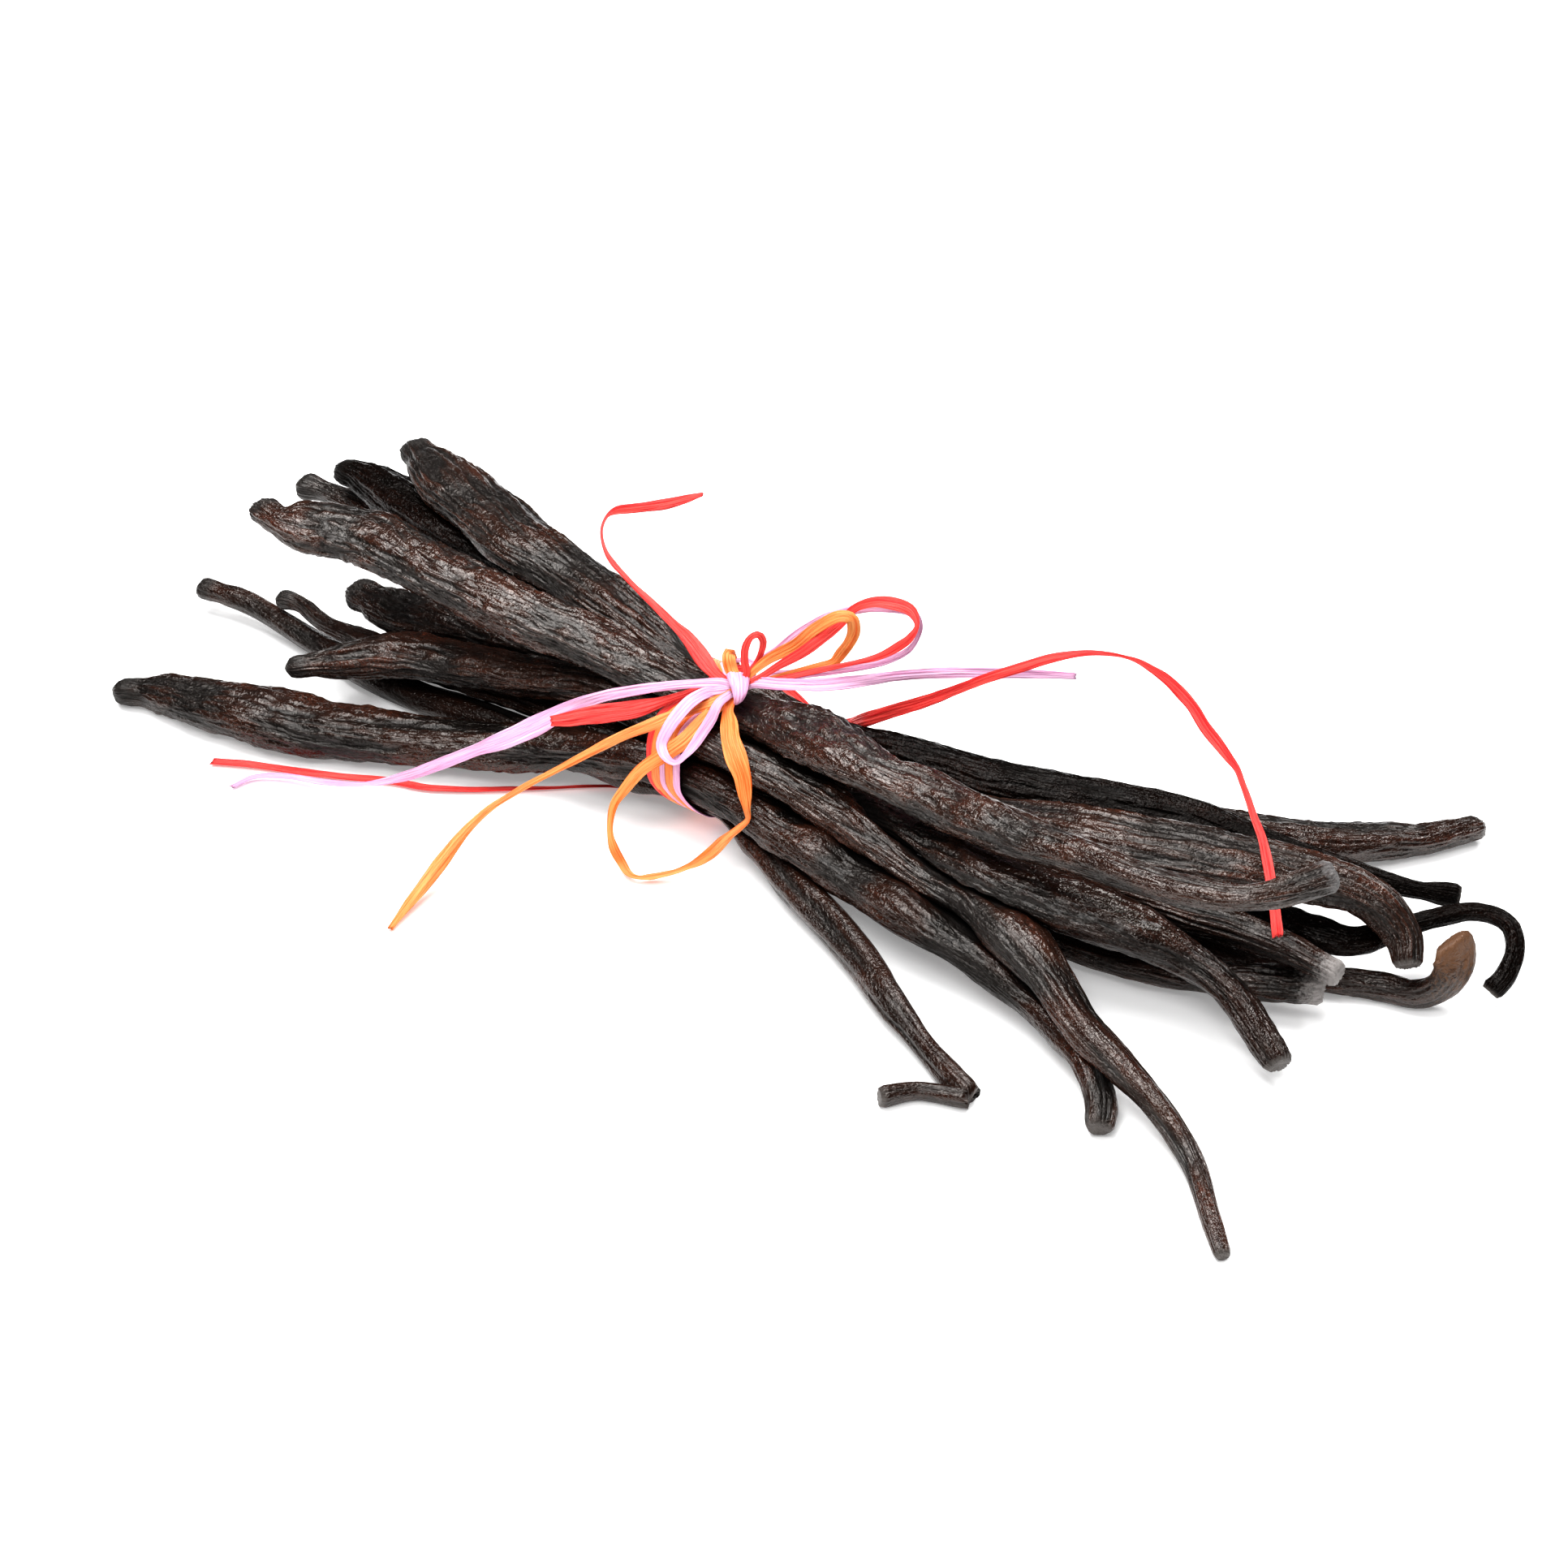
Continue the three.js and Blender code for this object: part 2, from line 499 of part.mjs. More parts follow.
// The distances along a pod at which it gets a ring. They crowd where the course bends and where
// the raffia draws the pod in.
function ringSpots(samples, tipWidths) {
  const crowds = [0];
  for (let i = 1; i < samples.length; i += 1) {
    const [from, to] = [samples[i - 1], samples[i]];
    const drawnIn = Math.abs(to.centre.x) < WAIST_FLARE ? 2 : 1;
    const straight = (drawnIn * (to.along - from.along)) / RING_STEP;
    crowds.push(crowds[i - 1] + straight + from.ahead.angleTo(to.ahead) / RING_BEND);
  }
  const length = samples.at(-1).along;
  const count = Math.round(crowds.at(-1));
  const spots = [0, tipWidths[0] * 0.22];
  let low = 0;
  for (let i = 1; i < count; i += 1) {
    const crowd = (crowds.at(-1) * i) / count;
    while (crowds[low + 1] < crowd) {
      low += 1;
    }
    const blend = (crowd - crowds[low]) / (crowds[low + 1] - crowds[low]);
    spots.push(THREE.MathUtils.lerp(samples[low].along, samples[low + 1].along, blend));
  }
  spots.push(length - tipWidths[1] * 0.22, length);
  return spots;
}

function podGeometry(pod, others) {
  const tipWidths = [pod.course[0][3], pod.course.at(-1)[3]];
  const spots = ringSpots(pod.samples, tipWidths);
  const tips = [...BLOSSOM_TIP, ...new Array(spots.length - 4).fill(1), STEM_TIP[1], STEM_TIP[0]];
  const rings = spots.map((along, i) => {
    const at = sampleAt(pod.samples, along);
    const near = others.filter((other) => other.box.distanceToPoint(at.centre) < 14);
    const ring = [];
    for (let k = 0; k < POD_SIDES; k += 1) {
      const angle = (2 * Math.PI * k) / POD_SIDES;
      const reach = at.across.clone().multiplyScalar(Math.cos(angle) * at.halfWidth * tips[i]);
      reach.addScaledVector(at.up, Math.sin(angle) * at.halfDepth * tips[i]);
      const share = freeShare(pod, near, at.centre, reach);
      ring.push(at.centre.clone().addScaledVector(reach, share));
    }
    return ring;
  });
  const [first, last] = [pod.samples[0], pod.samples.at(-1)];
  const start = first.centre.clone().addScaledVector(first.ahead, -0.12 * tipWidths[0]);
  const end = last.centre.clone().addScaledVector(last.ahead, 0.04 * tipWidths[1]);
  return loft(rings, [start, end]);
}

// ---- Raffia ---------------------------------------------------------------------------------

// The flat eight-sided section of a strip, about its centre.
function stripRing(centre, across, up, width, thickness) {
  const corners = [[1, 0.4], [0.8, 1], [-0.8, 1], [-1, 0.4], [-1, -0.4], [-0.8, -1], [0.8, -1], [1, -0.4]];
  return corners.map(([x, y]) => {
    const corner = centre.clone().addScaledVector(across, (x * width) / 2);
    return corner.addScaledVector(up, (y * thickness) / 2);
  });
}

function strandGeometry(strand) {
  const rows = strand.route.map((row) => [...row, strand.width]);
  const centres = strand.route.map((row) => new THREE.Vector3(...row));
  const short = new THREE.CatmullRomCurve3(centres).getLength() < SHORT_STRAND;
  const step = short ? STRAND_STEP / 2 : STRAND_STEP;
  const samples = sampleCourse(rows, NO_ROLL, step, () => STRAND_THICKNESS);
  const rings = samples.map((at) => stripRing(at.centre, at.across, at.up, strand.width, STRAND_THICKNESS));
  return loft(rings, [samples[0].centre, samples.at(-1).centre]);
}

function bandPoint(band, turn) {
  const angle = 2 * Math.PI * turn;
  const clear = BAND_GAP + BAND_THICKNESS / 2;
  const y = Math.cos(angle) * (WAIST_WIDTH / 2 + clear);
  const z = WAIST_Z + Math.sin(angle) * (WAIST_HEIGHT / 2 + clear);
  return new THREE.Vector3(bandDrift(angle) + band.along, y, z);
}

function bandGeometry(band) {
  const rings = [];
  for (let i = 0; i < BAND_STEPS; i += 1) {
    const turn = i / BAND_STEPS;
    const angle = 2 * Math.PI * turn;
    const outward = new THREE.Vector3(0, Math.cos(angle) * WAIST_HEIGHT, Math.sin(angle) * WAIST_WIDTH);
    outward.normalize();
    const across = new THREE.Vector3(1, 0, 0);
    rings.push(stripRing(bandPoint(band, turn), across, outward, band.width, BAND_THICKNESS));
  }
  return loft(rings, null);
}

function knotGeometry() {
  const geometry = new THREE.SphereGeometry(0.5, 14, 9);
  geometry.scale(...KNOT_SIZE);
  geometry.rotateZ(KNOT_TURN);
  geometry.translate(...KNOT_AT);
  return geometry;
}

// ---- The whole bundle -----------------------------------------------------------------------

function namedMesh(name, geometry, paint) {
  const mesh = new THREE.Mesh(geometry, new THREE.MeshStandardMaterial(PAINTS[paint]));
  mesh.name = name;
  return mesh;
}

const pods = PODS.map((pod) => {
  const samples = sampleCourse(pod.course, pod.roll, SAMPLE_STEP, podDepth);
  return { ...pod, samples, box: new THREE.Box3().setFromPoints(samples.map((at) => at.centre)) };
});

const bundle = new THREE.Group();
bundle.position.set(TIE_X, TIE_Y, 0);
for (const pod of pods) {
  const others = pods.filter((other) => other !== pod);
  bundle.add(namedMesh(pod.name, podGeometry(pod, others), 'pod'));
}
for (const band of BANDS) {
  bundle.add(namedMesh(band.name, bandGeometry(band), band.paint));
}
bundle.add(namedMesh('knot', knotGeometry(), 'pink'));
for (const strand of STRANDS) {
  bundle.add(namedMesh(strand.name, strandGeometry(strand), strand.paint));
}

const model = new THREE.Group();
model.add(bundle);

export default model;
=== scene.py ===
"""A bundle of cured vanilla pods tied with paper raffia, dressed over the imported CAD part.

Lengths are in millimetres until a mesh is made; Blender's units are metres. Courses and routes are
measured from the tie, as in the part's source.
"""

import bpy
import numpy as np
from mathutils import Matrix, Vector


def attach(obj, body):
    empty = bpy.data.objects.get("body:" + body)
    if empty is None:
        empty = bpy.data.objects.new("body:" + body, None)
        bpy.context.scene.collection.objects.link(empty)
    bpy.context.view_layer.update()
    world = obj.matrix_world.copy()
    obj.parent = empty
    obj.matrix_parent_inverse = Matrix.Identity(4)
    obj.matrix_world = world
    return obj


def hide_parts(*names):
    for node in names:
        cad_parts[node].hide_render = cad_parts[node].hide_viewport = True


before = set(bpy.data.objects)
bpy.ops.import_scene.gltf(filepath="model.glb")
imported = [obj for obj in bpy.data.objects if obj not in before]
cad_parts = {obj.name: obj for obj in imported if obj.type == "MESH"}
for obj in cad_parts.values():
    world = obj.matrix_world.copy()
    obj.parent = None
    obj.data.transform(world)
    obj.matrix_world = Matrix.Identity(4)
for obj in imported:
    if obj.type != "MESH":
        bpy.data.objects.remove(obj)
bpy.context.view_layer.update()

MM = 0.001
TIE = np.array([-5.4, -7.0, 0.0])


def add_object(name, data):
    obj = bpy.data.objects.new(name, data)
    bpy.context.scene.collection.objects.link(obj)
    return obj


# ---- Camera ----

CAMERA_AZIMUTH = np.radians(36)
CAMERA_ELEVATION = np.radians(36)
CAMERA_DISTANCE = 340.0
CAMERA_LENS = 60.8
SENSOR = 36.0
FRAME_PIXELS = 1932
TIE_TOP = np.array([0.0, 0.0, 9.5])  # the point of the tie that the frame is hung on
TIE_TOP_PIXEL = (886, 910)


def make_camera():
    """Aims the camera and shifts it until the top of the tie falls on its pixel."""
    cos_a, sin_a = np.cos(CAMERA_AZIMUTH), np.sin(CAMERA_AZIMUTH)
    cos_e, sin_e = np.cos(CAMERA_ELEVATION), np.sin(CAMERA_ELEVATION)
    ahead = np.array([-sin_a * cos_e, cos_a * cos_e, -sin_e])
    right = np.array([cos_a, sin_a, 0.0])
    up = np.cross(right, ahead)
    per_pixel = CAMERA_DISTANCE * SENSOR / (CAMERA_LENS * FRAME_PIXELS)
    beside = (TIE_TOP_PIXEL[0] - FRAME_PIXELS / 2) * per_pixel
    above = (FRAME_PIXELS / 2 - TIE_TOP_PIXEL[1]) * per_pixel
    place = TIE + TIE_TOP - CAMERA_DISTANCE * ahead - beside * right - above * up
    data = bpy.data.cameras.new("camera")
    data.lens = CAMERA_LENS
    data.sensor_width = SENSOR
    data.clip_start = 0.01
    camera = add_object("camera", data)
    turn = Matrix((right, up, -ahead)).transposed().to_4x4()
    camera.matrix_world = Matrix.Translation(Vector(place * MM)) @ turn
    bpy.context.scene.camera = camera


make_camera()

# ---- Sizes shared with the part's source ----

SAMPLE_STEP = 1.3
FLATTENING = 0.045  # how much thinner than wide a pod is, for every millimetre of its width
POD_GAP = 0.4
LEAST_SHARE = 0.2
WAIST_WIDTH = 21.0
WAIST_HEIGHT = 15.4
WAIST_Z = 9.3
WAIST_HOLD = 3.6  # how far from the middle of the bands the waist stays narrow
WAIST_FLARE = 13.0
BAND_CLEAR = 0.475
BAND_DRIFT = [-4.5, -4.6, 0.6, -1.7, -0.5, 1.8, 1.4, -1.8]  # at even angles round the waist
KNOT_AT = np.array([3.7, -0.9, 19.2])
KNOT_AXIS = np.array([0.809, 0.588, 0.0])  # along the tails that leave it to the left and right
KNOT_BACK = np.array([-0.588, 0.809, 0.0])

# Stations of a course: x, y, z, width and, where it isn't the usual one, thickness.
PODS = {
    "pod_front_wide": {"roll": (-10, -20), "course": [
        [-80.5, -31, 2, 4.4], [-74.5, -28, 2.2, 6.6], [-65, -26, 2.7, 10.2], [-46.5, -20.5, 2.8, 11],
        [-35, -15, 3.2, 10], [-22.5, -10.5, 4.6, 8.4], [-6, -8.4, 8, 6], [5, -8.2, 8.2, 5.8],
        [20.5, -8.4, 7, 9.6], [29.4, -9.3, 6.4, 9.8], [45.4, -12.3, 5.4, 8.8], [52, -13.5, 4.4, 6.4],
        [64.5, -17.4, 3.4, 4.6], [70.5, -22.8, 2.2, 3.8], [72.5, -26.4, 1.5, 3.4],
    ]},
    "pod_front_tail": {"roll": (0, -20), "course": [
        [-59.5, -18.4, 7, 3], [-53.5, -12.4, 7.6, 6.2], [-48.5, -8.2, 8, 7.6], [-39, -5.4, 8.6, 7.8],
        [-28, -3, 9.8, 7.2], [-17, -1.2, 11.4, 6.2], [-4, -4.6, 13.2, 5.4], [6, -5.2, 12.8, 5.4],
        [18.7, -4.9, 11.5, 6.6], [36.3, -7.3, 8.7, 6.6], [44.2, -8.6, 8.6, 6.6], [51.5, -11, 8.6, 7.4],
        [59, -14.4, 7.4, 5.8], [66, -17.8, 5.8, 4.6], [77.5, -21.6, 3.2, 3.5], [83.2, -25, 1.8, 2.8],
        [92.6, -34.8, 0.9, 1.9],
    ]},
    "pod_low_blade": {"roll": (10, 40), "course": [
        [-89, -6.8, 3.4, 3.4], [-81, -5.6, 3.2, 3.4], [-72.5, -6, 2.7, 3.6], [-62.5, -7, 2.3, 4.2],
        [-48.5, -7.8, 2.2, 5.2], [-34.5, -5.6, 2.4, 6.2], [-12, -6, 3.6, 5], [0, -6, 4, 5],
        [14, -9.6, 4.2, 4.6], [21, -12.8, 3.8, 5], [36.2, -19.5, 3, 4.2], [42.8, -23.4, 2.6, 3.8],
        [49.3, -26.6, 2, 2.8], [54.6, -28.8, 1.6, 3.2], [58, -30.2, 1.3, 2.8], [52.4, -32.8, 1.1, 2.4],
        [49.8, -36.2, 1.3, 2.8],
    ]},
    "pod_low_dark": {"roll": (0, 10), "course": [
        [-74.5, -5, 6, 3.4], [-71, -4.4, 6, 2.8], [-64.5, -5.8, 5.8, 2.6], [-58.5, -5.5, 5.6, 3.4],
        [-48, -4.5, 4.7, 5.4], [-29, -2.9, 4.4, 5.8], [-10, -2.2, 4.2, 4.8], [2, -1.8, 3.9, 4.8],
        [16, -2.6, 3.6, 4.8], [41, -3.2, 3.9, 5.2], [52.5, -2.8, 3.2, 3.8], [62.5, -1.2, 3.2, 3.8],
        [70, 1, 3.6, 4], [77, 3.8, 4.4, 4.8], [83.2, 6.2, 5.2, 5.2],
    ]},
    "pod_mid_curved": {"roll": (20, -20), "course": [
        [-65, 0.4, 8.2, 4.4], [-60, 0, 8.2, 5.8], [-55, -0.4, 8.4, 7], [-44.5, 0.5, 8.8, 7.4],
        [-32, 1.5, 9.4, 6.2], [-14, -0.6, 9.8, 5.6], [-3, -3, 9.4, 5.4], [8, -3.4, 9.4, 5.4],
        [23, -3.5, 10.2, 6], [34.2, -3.9, 10.3, 7], [45.2, -5, 10.9, 8.6], [55.1, -4, 10.5, 10],
        [62.9, -2.6, 9.5, 8.8], [69.5, -1.6, 7.8, 5.8], [75.5, -2.4, 6.4, 4.8], [84.5, -6.8, 3, 4.2],
    ]},
    "pod_top": {"roll": (-10, 10), "course": [
        [-72, -8.6, 23.4, 4.6], [-67, -9.2, 22.8, 5.6], [-64.5, -7.7, 22.2, 9.6], [-61.5, -5.2, 21.6, 11],
        [-56.5, -3.4, 21.2, 11], [-49, -3.6, 20.8, 9.6], [-33, -3.4, 19.4, 8.8], [-22.5, -2.2, 18.2, 8.2],
        [-6, -0.4, 15.4, 6.6], [6, 0.2, 15.2, 6.4], [14.5, -0.2, 16.2, 9], [22.5, -2.1, 16.8, 7.6],
        [28, -3.3, 16.9, 6], [32.8, -2.5, 16.3, 7], [48.1, -5, 18.1, 5.8], [55.6, -5.4, 19.2, 4.8],
        [63.6, -6.4, 20.3, 4.2], [70.8, -6.2, 21.4, 3.6], [77.5, -4.8, 22.6, 3.2], [83.5, 3.2, 23.4, 4.4],
    ]},
    "pod_back_floor": {"roll": (0, -15), "course": [
        [-88.8, 14.4, 10.6, 5], [-84, 15.4, 10.4, 4], [-78, 15.6, 10.2, 3.6], [-64.5, 14.5, 9.6, 4.6],
        [-47.5, 13, 9.2, 5.2], [-29, 10, 8.8, 5], [-12, 8.8, 8.6, 5], [0, 8.2, 8, 5], [13, 10.6, 7, 5.2],
        [30, 17, 5.6, 5.4], [46, 24.4, 4, 5.6], [65.6, 32.6, 2.6, 6.8], [71.6, 36.6, 2.4, 7],
        [75.6, 40.2, 2.2, 6.2], [78.6, 42.8, 2, 4.6], [83.6, 50, 1.8, 3.6],
    ]},
    "pod_back_black": {"roll": (-10, 30), "course": [
        [-81.5, 15.6, 15, 3.8], [-77, 16, 15, 6.4], [-69, 15, 14.8, 8.2], [-58, 13.2, 14.4, 8.4],
        [-42.5, 10.8, 13.4, 7.4], [-26, 7.4, 12, 6.2], [-12, 5.2, 10.4, 5.8], [2, 4.4, 9.4, 5.4],
        [15, 7, 10.4, 6.4], [26, 9.6, 10.5, 6.6], [37, 12.4, 10.4, 6.4], [56, 19.4, 9.7, 5.4],
        [66, 21.8, 8.7, 4.4], [75, 23.8, 7.8, 3.4], [85, 27, 7, 2.2], [87.5, 28.2, 6.8, 2.8],
        [89.5, 29.2, 6.6, 2.8],
    ]},
    "pod_back_ridged": {"roll": (-10, 10), "course": [
        [-72.8, 22.4, 18.6, 5], [-67, 20.2, 18.6, 7.8], [-59.5, 17.2, 18.6, 10.8],
        [-50.5, 14.4, 18.4, 11.2], [-41.5, 11.4, 18, 10.8], [-33.5, 10.2, 17.4, 9.6], [-23, 8, 16.6, 8.4],
        [-8, 5.6, 14.2, 6.6], [3, 5.2, 13.2, 6.2], [16, 4.6, 12.2, 5.6], [32.5, 4.4, 10.6, 4.8],
        [51.5, 5.2, 13.3, 8.6], [66, 10.2, 13.5, 9], [77, 14.8, 12.6, 6.6], [81.8, 16.4, 11.8, 5.6],
        [85.4, 16.5, 10.6, 5.2], [88.4, 15.6, 8.6, 4.4], [90.2, 13.4, 6.7, 3.4],
    ]},
    "pod_hook": {"roll": (0, 10), "course": [
        [-52, 24, 4, 3.6], [-42, 19.5, 4, 4.8], [-26, 13, 4, 5], [-12, 8.6, 4.2, 5], [0, 6, 4.4, 5],
        [14, 7.4, 4.4, 5.2], [30, 10.2, 4.6, 5.2], [46, 11.8, 5, 5], [71.5, 13.6, 5.4, 4.6],
        [78, 13.8, 5.6, 4.6], [82.5, 14.8, 5.8, 3.6], [88, 22, 6.8, 2.6], [93, 26.6, 7.6, 2.2],
        [96.5, 27, 7.2, 2.2], [98.5, 25, 6, 2.2], [99, 21.8, 3.8, 2.4], [98.2, 20, 2.2, 2.8],
    ]},
    "pod_curl": {"roll": (0, -70), "course": [
        [-60, 15, 5, 3.4], [-48, 11.8, 5, 4.4], [-30, 7, 4.8, 4.8], [-14, 3, 4.4, 4.8], [0, 2.2, 4, 4.8],
        [14, 3, 3.8, 5], [32, 5, 3.4, 5.4], [50, 6.4, 3, 4.4], [73, 7.6, 2.2, 4.2], [79, 10.4, 1.8, 3.8],
        [87.5, 14, 1.8, 4], [91, 14.6, 2.1, 4.4, 3], [93.4, 15.8, 3.4, 5.4, 2.4],
        [94.2, 17.2, 5.2, 6.4, 1.9], [93.8, 18, 7.2, 6.6, 1.5], [93, 17.8, 9, 5.4, 1.4],
    ]},
    "pod_mid_red": {"roll": (0, 15), "course": [
        [-46, 6.5, 10.4, 3.6], [-34, 4.8, 10.4, 4.4], [-18, 2.4, 10, 4.8], [-6, 0.6, 9.4, 5],
        [6, 0.4, 9.4, 5], [20, 1.2, 9.6, 5.2], [35, 1.6, 9.8, 5.2], [48, 1.8, 9.8, 5], [64, 3, 9.6, 4.6],
        [71, 4.4, 9.6, 4.6], [77.5, 5, 9.4, 4], [82, 4.8, 9.2, 3.2], [85.5, 4.6, 9, 3.2],
    ]},
}

# How far along the bundle each band lies, and its width. The second word of a name is the paint.
BANDS = {
    "band_red": (-2.2, 0.9),
    "band_orange_left": (-1.15, 1.3),
    "band_pink_left": (-0.1, 0.8),
    "band_orange_right": (0.95, 1.3),
    "band_pink_right": (2.1, 1.1),
}

